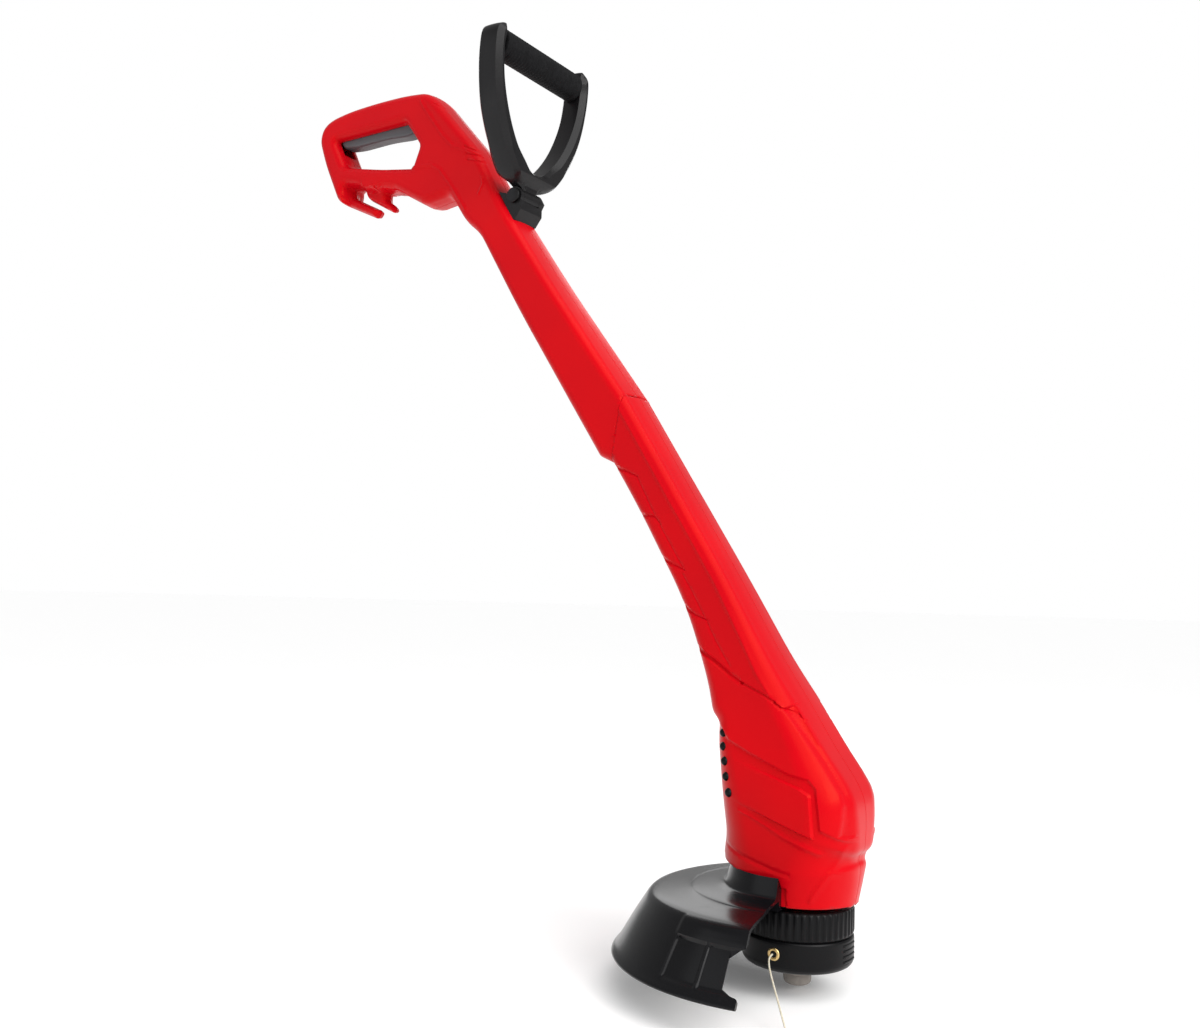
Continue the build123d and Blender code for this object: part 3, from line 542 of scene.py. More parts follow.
def swollen(grid: np.ndarray, shift: np.ndarray) -> np.ndarray:
    """Grid with each point moved out from the spool axis by shift."""
    radius = np.hypot(grid[..., 0], grid[..., 1])
    scale = 1.0 + shift / radius
    return np.stack([grid[..., 0] * scale, grid[..., 1] * scale, grid[..., 2]], -1)


def resampled(points: np.ndarray, count: int) -> np.ndarray:
    """Points spread anew along an open run, as many as count, evenly in each step of the old ones."""
    places = np.linspace(0, len(points) - 1, count)
    return np.stack([np.interp(places, np.arange(len(points)), c) for c in points.T], 1)


def eased(profile: list[tuple[float, float, float]], steps: int = 5) -> np.ndarray:
    """Closed profile with each corner eased.

    Args:
        profile: (radius, height, ease) corners; ease is how far each side the curve starts.
        steps: points along each eased corner, which is a quadratic curve between the sides.

    Returns:
        (n, 2) points.
    """
    corners = np.array([p[:2] for p in profile], float)
    ease = np.array([p[2] for p in profile], float)
    before, after = np.roll(corners, 1, 0) - corners, np.roll(corners, -1, 0) - corners
    back = np.linalg.norm(before, axis=1)
    ahead = np.linalg.norm(after, axis=1)
    start = corners + before * (np.minimum(ease, 0.48 * back) / back)[:, None]
    end = corners + after * (np.minimum(ease, 0.48 * ahead) / ahead)[:, None]
    t = np.linspace(0.0, 1.0, steps)[None, :, None]
    curve = (1 - t) ** 2 * start[:, None] + 2 * t * (1 - t) * corners[:, None] + t**2 * end[:, None]
    return curve.reshape(-1, 2)


# ------------------------------------------------------------------ heights over an outline
@dataclass(frozen=True)
class Corner:
    """A corner of an outline: place, ease, and whether the side after it is a cut edge."""

    x: float
    z: float
    ease: float = 3.0
    cut: bool = False


@dataclass(frozen=True)
class Stroke:
    """A groove or ridge along a line on the side of a plate.

    Depth is negative for a groove. Fade is how much of the depth and width is lost at the
    line's last point.
    """

    points: tuple[tuple[float, float], ...]
    width: float = 1.6
    depth: float = -0.7
    fade: float = 0.0

    def height(self, at: np.ndarray) -> np.ndarray:
        """depth times a smooth fall from the line to half the width."""
        line = np.array(self.points, float)
        away = to_lines(at, line[:-1], line[1:])
        run = line[-1] - line[0]
        left = 1.0 - self.fade * np.clip((at - line[0]) @ run / (run @ run), 0.0, 1.0)
        return self.depth * left * smooth(1.25 - away / (self.width * left / 2))

    def guides(self) -> np.ndarray:
        """Points along the line and along both its edges."""
        return beside(np.array(self.points, float), (0.0, self.width * 0.2, self.width * 0.62))


@dataclass(frozen=True)
class Panel:
    """A raised or sunk field with a bevelled edge, rising along x between two places."""

    points: tuple[tuple[float, float], ...]
    depth: float = 0.8
    bevel: float = 1.6
    grow: tuple[float, float] = (-901.0, -900.0)

    def height(self, at: np.ndarray) -> np.ndarray:
        """depth, reached smoothly over the bevel inside the outline."""
        ring = np.array(self.points, float)
        away = to_lines(at, ring, np.roll(ring, -1, 0))
        share = smooth((at[:, 0] - self.grow[0]) / (self.grow[1] - self.grow[0]))
        return self.depth * share * smooth(np.where(inside(at, ring), away / self.bevel, 0.0))

    def guides(self) -> np.ndarray:
        """Points along both edges of the bevel."""
        ring = np.array(self.points, float)
        return beside(np.concatenate([ring, ring[:1]]), (0.0, self.bevel * 0.5, self.bevel))


def to_lines(at: np.ndarray, start: np.ndarray, end: np.ndarray) -> np.ndarray:
    """Distance from each point to the nearest of several straight lines."""
    best = np.full(len(at), 1e9)
    run = end - start
    square = np.maximum((run**2).sum(1), 1e-12)
    for low in range(0, len(at), 4096):
        part = at[low : low + 4096, None, :] - start[None]
        share = np.clip((part * run[None]).sum(-1) / square, 0.0, 1.0)
        gap = part - share[..., None] * run[None]
        best[low : low + 4096] = np.sqrt((gap**2).sum(-1).min(1))
    return best


def inside(at: np.ndarray, ring: np.ndarray) -> np.ndarray:
    """Which points lie in a closed outline, by counting the sides that a ray crosses."""
    a, b = ring, np.roll(ring, -1, 0)
    answer = np.zeros(len(at), bool)
    rise = np.where(np.abs(b[:, 1] - a[:, 1]) < 1e-12, 1e-12, b[:, 1] - a[:, 1])
    for low in range(0, len(at), 4096):
        p = at[low : low + 4096]
        spans = (a[None, :, 1] > p[:, None, 1]) != (b[None, :, 1] > p[:, None, 1])
        hit = (b[:, 0] - a[:, 0])[None] * (p[:, None, 1] - a[None, :, 1]) / rise[None] + a[None, :, 0]
        answer[low : low + 4096] = ((p[:, None, 0] < hit) & spans).sum(1) % 2 == 1
    return answer


def beside(line: np.ndarray, offsets: tuple[float, ...], pitch: float = 1.1) -> np.ndarray:
    """Points along a line, and at each offset both sides of it."""
    run = np.diff(line, axis=0)
    length = np.linalg.norm(run, axis=1)
    rows = []
    for p, d, size in zip(line[:-1], run, length):
        share = np.linspace(0.0, 1.0, max(int(size / pitch), 1) + 1)[:, None]
        across = np.array([-d[1], d[0]]) / max(size, 1e-9)
        rows += [p + share * d + across * o * s for o in offsets for s in (1.0, -1.0)]
    return np.concatenate(rows)


def trace(corners: list[Corner], pitch: float) -> tuple[np.ndarray, np.ndarray]:
    """Walk an outline.

    Args:
        corners: the corners, in order.
        pitch: the spacing of the points along soft sides.

    Returns:
        The points, and for each whether the step after it is soft (not a cut edge). Cut
        sides have their points closer together towards their ends.
    """
    place = np.array([(c.x, c.z) for c in corners], float)
    points, soft = [], []
    for i, corner in enumerate(corners):
        before, here, after = place[i - 1], place[i], place[(i + 1) % len(corners)]
        was_cut = corners[i - 1].cut
        if corner.cut or was_cut or corner.ease <= 0:
            curve = here[None]
        else:
            back, ahead = np.linalg.norm(before - here), np.linalg.norm(after - here)
            start = here + (before - here) * min(corner.ease, 0.48 * back) / back
            end = here + (after - here) * min(corner.ease, 0.48 * ahead) / ahead
            count = max(int(np.linalg.norm(start - here) * 2 / pitch), 3) + 1
            t = np.linspace(0.0, 1.0, count)[:, None]
            curve = (1 - t) ** 2 * start + 2 * t * (1 - t) * here + t**2 * end
        points.append((curve, corner.cut))
    flat: list[np.ndarray] = []
    for i, (curve, cut) in enumerate(points):
        following = points[(i + 1) % len(points)][0][0]
        gap = following - curve[-1]
        size = np.linalg.norm(gap)
        if cut:
            steps = max(int(size / 1.6), 8)
            share = (1 - np.cos(np.linspace(0.0, math.pi, steps + 1))) / 2
        else:
            share = np.linspace(0.0, 1.0, max(int(size / pitch), 1) + 1)
        rest = curve[-1] + share[1:-1, None] * gap
        flat.append(np.concatenate([curve, rest]))
        soft += [True] * (len(curve) - 1) + [not cut] * (1 + len(rest))
    return np.concatenate(flat), np.array(soft)


def always(value: float) -> Callable[[np.ndarray], np.ndarray]:
    """A field with the same value everywhere."""
    return lambda at: np.full(len(at), value)


@dataclass
class Plate:
    """A piece whose two sides are heights over an outline.

    The height at a point is wall + drop * round(d / reach), where d is the distance to the
    nearest soft edge, round is a quarter circle (or a straight chamfer), wall is half - drop,
    and the relief of strokes and panels is added. Soft edges have an upright wall, crowned by
    crown, that starts at the low height.
    """

    outline: list[Corner]
    holes: list[list[Corner]] = field(default_factory=list)
    half: Callable[[np.ndarray], np.ndarray] = always(10.0)
    drop: Callable[[np.ndarray], np.ndarray] = always(4.0)
    reach: Callable[[np.ndarray], np.ndarray] = always(4.0)
    low: Callable[[np.ndarray], np.ndarray] = always(0.0)
    crown: Callable[[np.ndarray], np.ndarray] = always(0.0)
    marks: tuple = ()
    chamfer: bool = False
    pitch: float = 2.0
    lattice: float = 2.2
    seam: float = 0.0

    def _shape(self, share: np.ndarray) -> np.ndarray:
        """Rise from the edge, 0 to 1."""
        share = np.clip(share, 0.0, 1.0)
        return share if self.chamfer else np.sqrt(np.maximum(1.0 - (1.0 - share) ** 2, 0.0))

    def _spread(self) -> None:
        """Spread points over the outline, join them in triangles and set the wall's edge points."""
        loops = [trace(c, self.pitch) for c in (self.outline, *self.holes)]
        rings = [p for p, _ in loops]
        start = np.concatenate([p[s] for p, s in loops])
        end = np.concatenate([np.roll(p, -1, 0)[s] for p, s in loops])
        self.edge_points = np.concatenate(rings)
        offsets = np.cumsum([0] + [len(r) for r in rings])
        edges, normals = [], []
        for ring, low in zip(rings, offsets):
            index = np.arange(len(ring))
            edges.append(np.stack([index, (index + 1) % len(ring)], 1) + low)
            along = np.roll(ring, -1, 0) - np.roll(ring, 1, 0)
            along /= np.maximum(np.linalg.norm(along, axis=1), 1e-9)[:, None]
            normals.append(np.stack([-along[:, 1], along[:, 0]], 1))
        self.edges = np.concatenate(edges)
        self.normals = np.concatenate(normals)
        probe = self.edge_points + self.normals * 0.15
        flip = ~self._within(probe, rings)
        self.normals[flip] *= -1.0
        self.soft = np.concatenate([s for _, s in loops])
        touches = self.soft | np.concatenate([np.roll(s, 1) for _, s in loops])
        base, inward = self.edge_points[touches], self.normals[touches]
        reach = self.reach(base)
        if self.chamfer:
            shares = np.array([0.5, 1.0, 1.0 + 1e-3])
        else:
            shares = 1.0 - np.cos(np.radians(np.array([8, 17, 27, 38, 50, 62, 76, 90])))
        layers = []
        for share in shares:
            depth = reach * share
            spot = base + inward * depth[:, None]
            keep = (depth < 9.0) & self._within(spot, rings)
            spot, depth = spot[keep], depth[keep]
            away = to_lines(spot, start, end)
            layers.append(spot[away > depth * 0.985 - 0.02])
        offsets_points = np.concatenate(layers)
        low, high = self.edge_points.min(0), self.edge_points.max(0)
        step = self.lattice
        xs = np.arange(low[0], high[0], step)
        zs = np.arange(low[1], high[1], step * 0.866)
        gx, gz = np.meshgrid(xs, zs)
        gx = gx + (np.arange(len(zs)) % 2)[:, None] * step / 2
        inner = np.stack([gx.ravel(), gz.ravel()], 1)
        inner = inner[self._within(inner, rings)]
        away = to_lines(inner, start, end)
        inner = inner[away > np.minimum(self.reach(inner), 9.0) * 0.93 + step * 0.35]
        if self.marks:
            guides = np.concatenate([m.guides() for m in self.marks])
            guides = guides[self._within(guides, rings)]
            guides = guides[to_lines(guides, start, end) > 0.5]
            cells = np.unique(np.round(guides / 0.45).astype(int), axis=0, return_index=True)[1]
            guides = guides[cells]
            inner = inner[to_lines(inner, guides, guides + 1e-6) > step * 0.5]
            offsets_points = offsets_points[to_lines(offsets_points, guides, guides + 1e-6) > 0.4]
        else:
            guides = np.zeros((0, 2))
        cells = np.unique(np.round(offsets_points / 0.3).astype(int), axis=0, return_index=True)[1]
        every = np.concatenate([self.edge_points, offsets_points[cells], inner, guides])
        found = delaunay_2d_cdt(
            [Vector(p) for p in every.tolist()], [tuple(e) for e in self.edges.tolist()], [], 0, 1e-5
        )
        spots = np.array([tuple(v) for v in found[0]], float)
        tris = np.array(found[2], int)
        tris = tris[self._within(spots[tris].mean(1), rings)]
        a, b, c = spots[tris[:, 0]], spots[tris[:, 1]], spots[tris[:, 2]]
        turn = (b[:, 0] - a[:, 0]) * (c[:, 1] - a[:, 1]) - (b[:, 1] - a[:, 1]) * (c[:, 0] - a[:, 0])
        tris[turn < 0] = tris[turn < 0][:, ::-1]
        used, tris = np.unique(tris, return_inverse=True)
        self.spots, self.tris = spots[used], tris.reshape(-1, 3)
        self.away = to_lines(self.spots, start, end)
        self.away[self.away < 0.01] = 0.0

    def _within(self, at: np.ndarray, rings: list[np.ndarray]) -> np.ndarray:
        """Which points lie in the outline and outside its holes."""
        answer = inside(at, rings[0])
        for ring in rings[1:]:
            answer &= ~inside(at, ring)
        return answer

    def _height(self, at: np.ndarray, away: np.ndarray) -> np.ndarray:
        """Height over the plane, by the formula of the class."""
        half, drop = self.half(at), self.drop(at)
        height = half - drop + drop * self._shape(away / self.reach(at))
        for mark in self.marks:
            height = height + mark.height(at) * smooth(away / 2.5)
        return height

    def build(self, skin: Skin, axes: tuple[np.ndarray, ...], hands: tuple[int, ...]) -> None:
        """Add the plate to a skin.

        Args:
            skin: what it is added to.
            axes: origin, the plane's two directions and the direction of height, in row metres.
            hands: -1 for the side below the plane, +1 for the side above, or both.
        """
        self._spread()
        origin, right, up, out = axes
        height = self._height(self.spots, self.away)
        frame_sign = np.dot(np.cross(right, up), out)
        wall_top = self.half(self.edge_points) - self.drop(self.edge_points)
        wall_low = np.minimum(self.low(self.edge_points), wall_top - 0.05)
        share = np.linspace(0.0, 1.0, 7)
        level = wall_low[:, None] + (wall_top - wall_low)[:, None] * share[None]
        rise = level / np.maximum(wall_top, 1e-6)[:, None]
        bulge = self.crown(self.edge_points)[:, None] * (1.0 - rise**2)
        foot = np.zeros_like(level)
        if self.seam:
            shut = wall_low < 1.0
            level[shut, 1] = wall_low[shut] + self.seam
            foot[shut, 0] = self.seam
        spot = self.edge_points[:, None, :] + self.normals[:, None, :] * (foot - bulge)[..., None]
        for hand in hands:
            flat = self.spots[:, :1] * right + self.spots[:, 1:] * up
            top = origin + (flat + height[:, None] * hand * out) * MM
            skin.add(top, self.tris, flip=frame_sign * hand < 0)
            foot_line = spot[..., :1] * right + spot[..., 1:] * up
            wall = origin + (foot_line + level[..., None] * hand * out) * MM
            a, b = self.edges[self.soft, 0], self.edges[self.soft, 1]
            columns = level.shape[1]
            col = np.arange(columns - 1)
            quads = np.stack(
                [
                    a[:, None] * columns + col,
                    b[:, None] * columns + col,
                    b[:, None] * columns + col + 1,
                    a[:, None] * columns + col + 1,
                ],
                -1,
            ).reshape(-1, 4)
            places = wall.reshape(-1, 3)
            first = places[quads[:, 0]]
            face = np.cross(places[quads[:, 1]] - first, places[quads[:, 3]] - first)
            outward = -(self.normals[quads[:, 0] // columns] @ np.stack([right, up]))
            wrong = (face * outward).sum(1) < 0
            quads[wrong] = quads[wrong][:, ::-1]
            skin.add(places, quads)


SIDE_AXES = (HEAD, np.array([1.0, 0, 0]), np.array([0, 0, 1.0]), np.array([0, 1.0, 0]))


# ------------------------------------------------------------------ red body
@dataclass(frozen=True)
class Spine:
    """The body's cross-sections, each a front point, a rear point and a half width."""

    fronts: np.ndarray
    rears: np.ndarray
    halves: np.ndarray
    reaches: np.ndarray
    drops: np.ndarray

    def travel(self, at: np.ndarray) -> np.ndarray:
        """How many sections down the body a point is: the sum over sections of s / (s + s').

        s is the distance past a section's line and s' the distance short of the next one's,
        neither below zero.
        """
        run = self.fronts - self.rears
        down = np.stack([run[:, 1], -run[:, 0]], 1)
        down /= np.linalg.norm(down, axis=1)[:, None]
        past = ((at[:, None, :] - self.rears[None]) * down[None]).sum(-1)
        done, left = np.maximum(past[:, :-1], 0.0), np.maximum(-past[:, 1:], 0.0)
        return (done / np.maximum(done + left, 1e-6)).sum(1)

    def blended(self, values: np.ndarray) -> Callable[[np.ndarray], np.ndarray]:
        """A field that follows the sections' values, its joints between sections rounded off."""
        dense = np.linspace(0.0, len(values) - 1.0, 40 * (len(values) - 1) + 1)
        raw = np.interp(dense, np.arange(len(values)), values)
        padded = np.pad(raw, 14, mode="edge")
        eased_values = np.convolve(padded, np.ones(29) / 29, mode="valid")
        return lambda at: np.interp(self.travel(at), dense, eased_values)


def spine(rows: list[tuple[float, ...]]) -> Spine:
    """Sections from (front x, front z, rear x, rear z, half, reach, drop) rows."""
    table = np.array(rows, float)
    return Spine(table[:, 0:2], table[:, 2:4], table[:, 4], table[:, 5], table[:, 6])


@dataclass
class RedBody:
    """The two pairs of red shells, from the rear handle down to the motor housing."""

    finishes: Finishes
    wall: float = 2.4
    thin_share: float = 0.55
    seam: float = 0.35
    grip_half: float = 18.0
    hook_half: float = 7.0
    slot_half: float = 8.6
    # size of the black balls painted as the shade in the air slot mouths
    slot_shade_size: tuple[float, float, float] = (3.9, 4.4, 3.8)

    def _shell(
        self, name: str, plate: Plate, hand: int, thin: np.ndarray | None = None
    ) -> bpy.types.Object:
        """One half shell with its wall.

        Args:
            name: the piece's name.
            plate: its outside.
            hand: -1 for the right half, +1 for the left.
            thin: outline in the side plane inside which the wall is thinner.

        Returns:
            The piece, riding the housing.
        """
        skin = Skin()
        plate.build(skin, SIDE_AXES, (hand,))
        piece = skin.piece(name, self.finishes.red, crease=42.0, outward=False)
        shell = piece.modifiers.new("wall", "SOLIDIFY")
        shell.thickness = self.wall * MM
        shell.offset = -1.0
        shell.use_even_offset = False
        if thin is not None:
            group = piece.vertex_groups.new(name="wall")
            co = np.zeros(len(piece.data.vertices) * 3, np.float32)
            piece.data.vertices.foreach_get("co", co)
            place = (co.reshape(-1, 3) - HEAD) / MM
            in_hooks = inside(place[:, [0, 2]], thin)
            for index in np.flatnonzero(in_hooks):
                group.add([int(index)], self.thin_share, "REPLACE")
            group.add([int(i) for i in np.flatnonzero(~in_hooks)], 1.0, "REPLACE")
            shell.vertex_group = "wall"
        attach(piece, "housing")
        return piece

    def upper(self) -> None:
        """The rear handle and the upper shaft, one shell each side."""
        body = spine(
            [
                (-338, 703, -373, 680, 18.0, 9.0, 9.0),
                (-322, 672, -349, 653.5, 19.0, 8.0, 8.0),
                (-300, 640, -330.5, 619, 22.0, 8.0, 8.0),
                (-245, 563, -280, 539, 23.0, 8.0, 8.0),
                (-160, 452, -184, 399, 25.0, 8.0, 9.0),
            ]
        )
        outline = [
            Corner(-160, 452, 0),
            Corner(-245, 563, 30),
            Corner(-300, 640, 20),
            Corner(-322, 675, 12),
            Corner(-338, 703, 12),
            Corner(-380, 749, 14),
            Corner(-397, 768, 9),
            Corner(-410, 776, 8),
            Corner(-437, 779, 12),
            Corner(-475, 780, 18),
            Corner(-515, 779, 16),
            Corner(-544, 775, 12),
            Corner(-556, 767, 8),
            Corner(-560, 753, 8),
            Corner(-550, 726, 12),
            Corner(-529, 684, 6),
            Corner(-483, 663, 2.2),
            Corner(-478, 669, 2.2),
            Corner(-517, 688, 3.5),
            Corner(-519, 700, 4),
            Corner(-499, 695, 4),
            Corner(-494, 684, 4),
            Corner(-459, 665, 2.2),
            Corner(-458, 670, 2.2),
            Corner(-468, 677, 3),
            Corner(-468, 687, 4),
            Corner(-447, 683, 2),
            Corner(-409, 662, 2),
            Corner(-402, 661, 3),
            Corner(-373, 665, 7),
            Corner(-350, 634, 10),
            Corner(-330.5, 619, 10),
            Corner(-280, 539, 30),
            Corner(-184, 399, 2),
            Corner(-169.5, 392.5, 0, cut=True),
        ]
        hand_hole = [
            Corner(-535, 750, 4),
            Corner(-519, 719, 8),
            Corner(-468, 708, 14),
            Corner(-424, 701, 3.5),
            Corner(-415, 722, 4),
            Corner(-428, 740, 4),
            Corner(-436, 750, 3),
        ]
        marks = (
            Stroke(
                ((-519, 717), (-453, 705), (-420, 700.5), (-394, 697.5), (-384, 691), (-368, 672),
                 (-349, 646)),
                3.0, 0.9,
            ),
            Stroke(((-412, 766), (-407, 758), (-383.3, 727), (-368, 711.6), (-337, 699)), 3.2, 0.8),
            Stroke(((-353, 708.5), (-335, 699)), 2.0, -1.0),
            Stroke(((-351.2, 701.7), (-333.4, 694.7)), 2.0, -1.0),
            Stroke(((-349.4, 695.2), (-331, 689)), 2.0, -1.0),
            Stroke(((-329.3, 673.9), (-327.4, 666.1), (-331.8, 658.2)), 2.0, 0.8),
            Stroke(((-397, 761), (-383, 752)), 1.6, -0.7),
        )

        def half(at: np.ndarray) -> np.ndarray:
            """Half width: the handle's, or the shaft's where that is wider, drawn in at the hooks."""
            hooks = smooth((at[:, 0] + 522.5) / 4.0) * smooth((-452.0 - at[:, 0]) / 4.0)
            hooks *= smooth((hook_root(at[:, 0]) - at[:, 1]) / 3.5)
            draw = self.grip_half - self.hook_half
            return np.maximum(body.blended(body.halves)(at), self.grip_half) - draw * hooks

        def hook_root(x: np.ndarray) -> np.ndarray:
            """Height at which the narrow hooks leave the body."""
            along = (-521.0, -497.0, -490.0, -468.0, -456.0)
            return np.interp(x, along, (700.5, 697.5, 692.0, 689.0, 685.5))

        def opening(at: np.ndarray) -> np.ndarray:
            """Where the walls start: above the trigger's slot and the inlet's mouth."""
            slot = np.array([(-538, 734), (-538, 753), (-414, 753), (-414, 734)], float)
            mouth = np.array([(-444, 688), (-448, 680), (-411, 659), (-406, 667)], float)
            return np.where(inside(at, slot) | inside(at, mouth), self.slot_half, 0.0)

        thin = np.array(
            [(-700, 600), (-700, 700), (-512, 702), (-480, 697), (-462, 688), (-455, 600)], float
        )
        for name, hand in (("upper_shell_right", -1), ("upper_shell_left", 1)):
            plate = Plate(
                outline=outline,
                holes=[hand_hole],
                half=half,
                drop=lambda at: np.minimum(8.6, 0.6 * half(at)),
                reach=lambda at: np.minimum(8.2, 0.55 * half(at)),
                low=opening,
                crown=always(0.9),
                marks=marks,
                pitch=2.0,
                lattice=2.3,
                seam=self.seam,
            )
            piece = self._shell(f"{name}_skin", plate, hand, thin)
            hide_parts(name)

    def lower(self) -> None:
        """The lower shaft and the motor housing, one shell each side."""
        body = spine(
            [
                (-159.6, 451.4, -169.5, 392.5, 25.0, 8.2, 8.6),
                (-108, 373, -141, 350, 25.4, 7.8, 8.6),
                (-58, 297, -94, 272, 26.6, 8.0, 9.0),
                (-17, 231, -68, 196, 32.0, 12.0, 13.0),
                (30, 165, -60, 165, 41.0, 20.0, 22.0),
                (53, 130, -57, 130, 46.0, 28.0, 30.0),
                (54, 96, -54, 96, 47.0, 34.0, 36.0),
                (51, 72, -57, 72, 48.0, 44.0, 45.0),
                (46, 50, -46, 50, 46.0, 45.0, 45.0),
            ]
        )

        def collar(x: float) -> float:
            """Height of the lower edge over the guard's collar."""
            return 64.0 + (10.0 - x) * 11.0 / 56.0

        outline = [
            Corner(46.5, 50, 0),
            Corner(49.5, 66, 6),
            Corner(51, 79, 2.2),
            Corner(49.0, 82.5, 1.6),
            Corner(49.6, 87, 1.8),
            Corner(54, 92, 3),
            Corner(55, 112, 10),
            Corner(53.5, 130, 10),
            Corner(46, 144, 10),
            Corner(30, 165, 12),
            Corner(8, 197, 14),
            Corner(-17, 231, 20),
            Corner(-58, 297, 30),
            Corner(-108, 373, 34),
            Corner(-159.8, 451.7, 0, cut=True),
            Corner(-169.45, 392.35, 0),
            Corner(-141, 350, 24),
            Corner(-94, 272, 30),
            Corner(-72, 214, 22),
            Corner(-66, 188, 6),
            Corner(-60, 181, 3),
            Corner(-60, 165, 6),
            Corner(-57, 130, 12),
            Corner(-54, 96, 6),
            Corner(-58, 80, 3),
            Corner(-57.5, collar(-57.5), 0, cut=True),
            Corner(10, 64, 0, cut=True),
            Corner(10, 50, 0, cut=True),
        ]
        marks = (
            Stroke(((-166.3, 389.5), (-141.6, 379.5)), 3.4, -2.4, 0.6),
            Stroke(((-141.5, 378.4), (-123.1, 345.6)), 1.3, -0.5),
            Stroke(((-143.5, 348.5), (-123.5, 345.0), (-117.7, 339.0)), 3.4, -2.4, 0.6),
            Stroke(((-117.6, 337.2), (-94.9, 302.9)), 1.3, -0.5),
            Stroke(((-122, 314.0), (-105, 305.5), (-93, 300.8)), 3.6, -2.6, 0.6),
            Stroke(((-94.9, 297.5), (-85.2, 282.9), (-73.2, 263.3)), 1.3, -0.5),
            Stroke(((-101, 277.5), (-90, 269.5), (-82.4, 264.8), (-71, 261.0)), 3.6, -2.6, 0.6),
            Stroke(((-70, 259.2), (-61.2, 244.1), (-48, 226)), 1.3, -0.5),
            Stroke(((-82, 240), (-62.3, 228.8), (-48.0, 219.5), (-35.9, 212.8)), 3.8, -2.8, 0.4),
            Stroke(((-36.5, 213.2), (-16.1, 205.1), (-6.9, 200.0)), 2.4, -1.3),
            Stroke(((-6.9, 200.0), (-0.2, 195.3), (9.5, 191), (15, 186.8), (19.5, 183.5)), 2.2, -1.3),
            Stroke(((-5.0, 200.8), (-1.0, 197.4)), 2.2, 0.9),
            Stroke(
                ((-167.3, 446.6), (-115.8, 367.9), (-65, 291.5), (-42.2, 253.4), (-23.1, 221.0),
                 (-10.9, 205.4)),
                3.0, 0.7,
            ),
            Panel(
                ((-78, 205), (-60, 186), (-42, 169.5), (-22, 161), (-3.5, 154), (9.5, 149), (25.5, 146),
                 (32, 139.5), (35.3, 123), (36.5, 110), (46.6, 104.2), (57, 100), (60, 80), (60, 40),
                 (-80, 40), (-80, 120)),
                -2.1, 2.4,
            ),
            Panel(
                ((-50, 160), (-24, 151.6), (2, 144.3), (19.9, 138.9), (28.0, 134.6), (30.2, 119.5),
                 (31.4, 102.0), (16, 106.6), (3.7, 110.5), (-19.7, 118.0), (-50, 128)),
                2.3, 1.6, (-42.0, 2.0),
            ),
            Panel(
                ((-0.5, 195.5), (9.9, 183.2), (19.5, 171.0), (31.4, 156.2), (41.0, 143.0), (46.2, 135.4),
                 (48.5, 127.6), (48.3, 116.9), (46.4, 104.0), (80, 101), (80, 160), (30, 215)),
                -4.0, 1.5,
            ),
            Stroke(
                ((34.3, 92.1), (21.4, 97.2), (7.5, 101.6), (-5, 107.3), (-19.6, 113.2), (-31, 117)),
                4.0, 1.5, 0.7,
            ),
            Stroke(((-48, 89), (-30, 84), (0, 76), (12, 74)), 3.0, -0.8),
            Stroke(((50.4, 97.6), (38.5, 75.3), (30.2, 62.3), (27, 56)), 3.4, 1.0),
        )

        def crown(at: np.ndarray) -> np.ndarray:
            """Crown of the front and rear faces, fading out where the housing is round."""
            return 1.8 * smooth((at[:, 1] - 150.0) / 80.0)

        for name, hand in (("lower_shell_right", -1), ("lower_shell_left", 1)):
            plate = Plate(
                outline=outline,
                half=body.blended(body.halves),
                drop=body.blended(body.drops),
                reach=body.blended(body.reaches),
                crown=crown,
                marks=marks,
                pitch=1.8,
                lattice=1.9,
                seam=self.seam,
            )
            piece = self._shell(f"{name}_skin", plate, hand)
            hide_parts(name)

    def floor(self) -> None:
        """The housing's floor and neck, which close it above the head."""
        profile = eased(
            [(12.2, 50.2, 0.5), (43.8, 50.2, 0.8), (43.8, 80, 0.5), (41.6, 80, 0.5), (41.6, 52.8, 0.5),
             (12.2, 52.8, 0.5)]
        )
        angles = np.linspace(0.0, math.tau, 96, endpoint=False)
        skin = Skin()
        skin.grid(row(around(profile, angles)), wrap_u=True, wrap_v=True)
        piece = skin.piece("housing_floor", self.finishes.red)
        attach(piece, "housing")

    def painted_slot_shade(self) -> None:
        """Small black inserts that paint the shade inside the air slot mouths, a column down each rear
        corner.
        """
        places = (
            (-49.4, 173.5, 33.4), (-48.8, 163.0, 34.2), (-46.4, 152.0, 36.2), (-44.4, 140.5, 37.4),
            (-41.0, 128.7, 39.2),
        )
        u = np.linspace(0.0, math.tau, 28, endpoint=False)[:, None]
        v = np.linspace(0.02, math.pi - 0.02, 16)[None]
        ball = np.stack([np.cos(u) * np.sin(v), np.sin(u) * np.sin(v), np.cos(v) + 0.0 * u], -1)
        skin = Skin()
        for x, z, y in places:
            for hand in (-1.0, 1.0):
                middle = np.array([x, hand * y, z])
                skin.grid(row(ball * np.array(self.slot_shade_size) + middle), wrap_u=True)
        # Black balls as painted shade where the slot mouths open into the dark housing.
        piece = skin.piece("housing_air_slot_shade", self.finishes.black)
        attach(piece, "housing")

    def build(self) -> None:
        """Make the shells."""
        self.upper()
        self.lower()
        self.floor()
        self.painted_slot_shade()


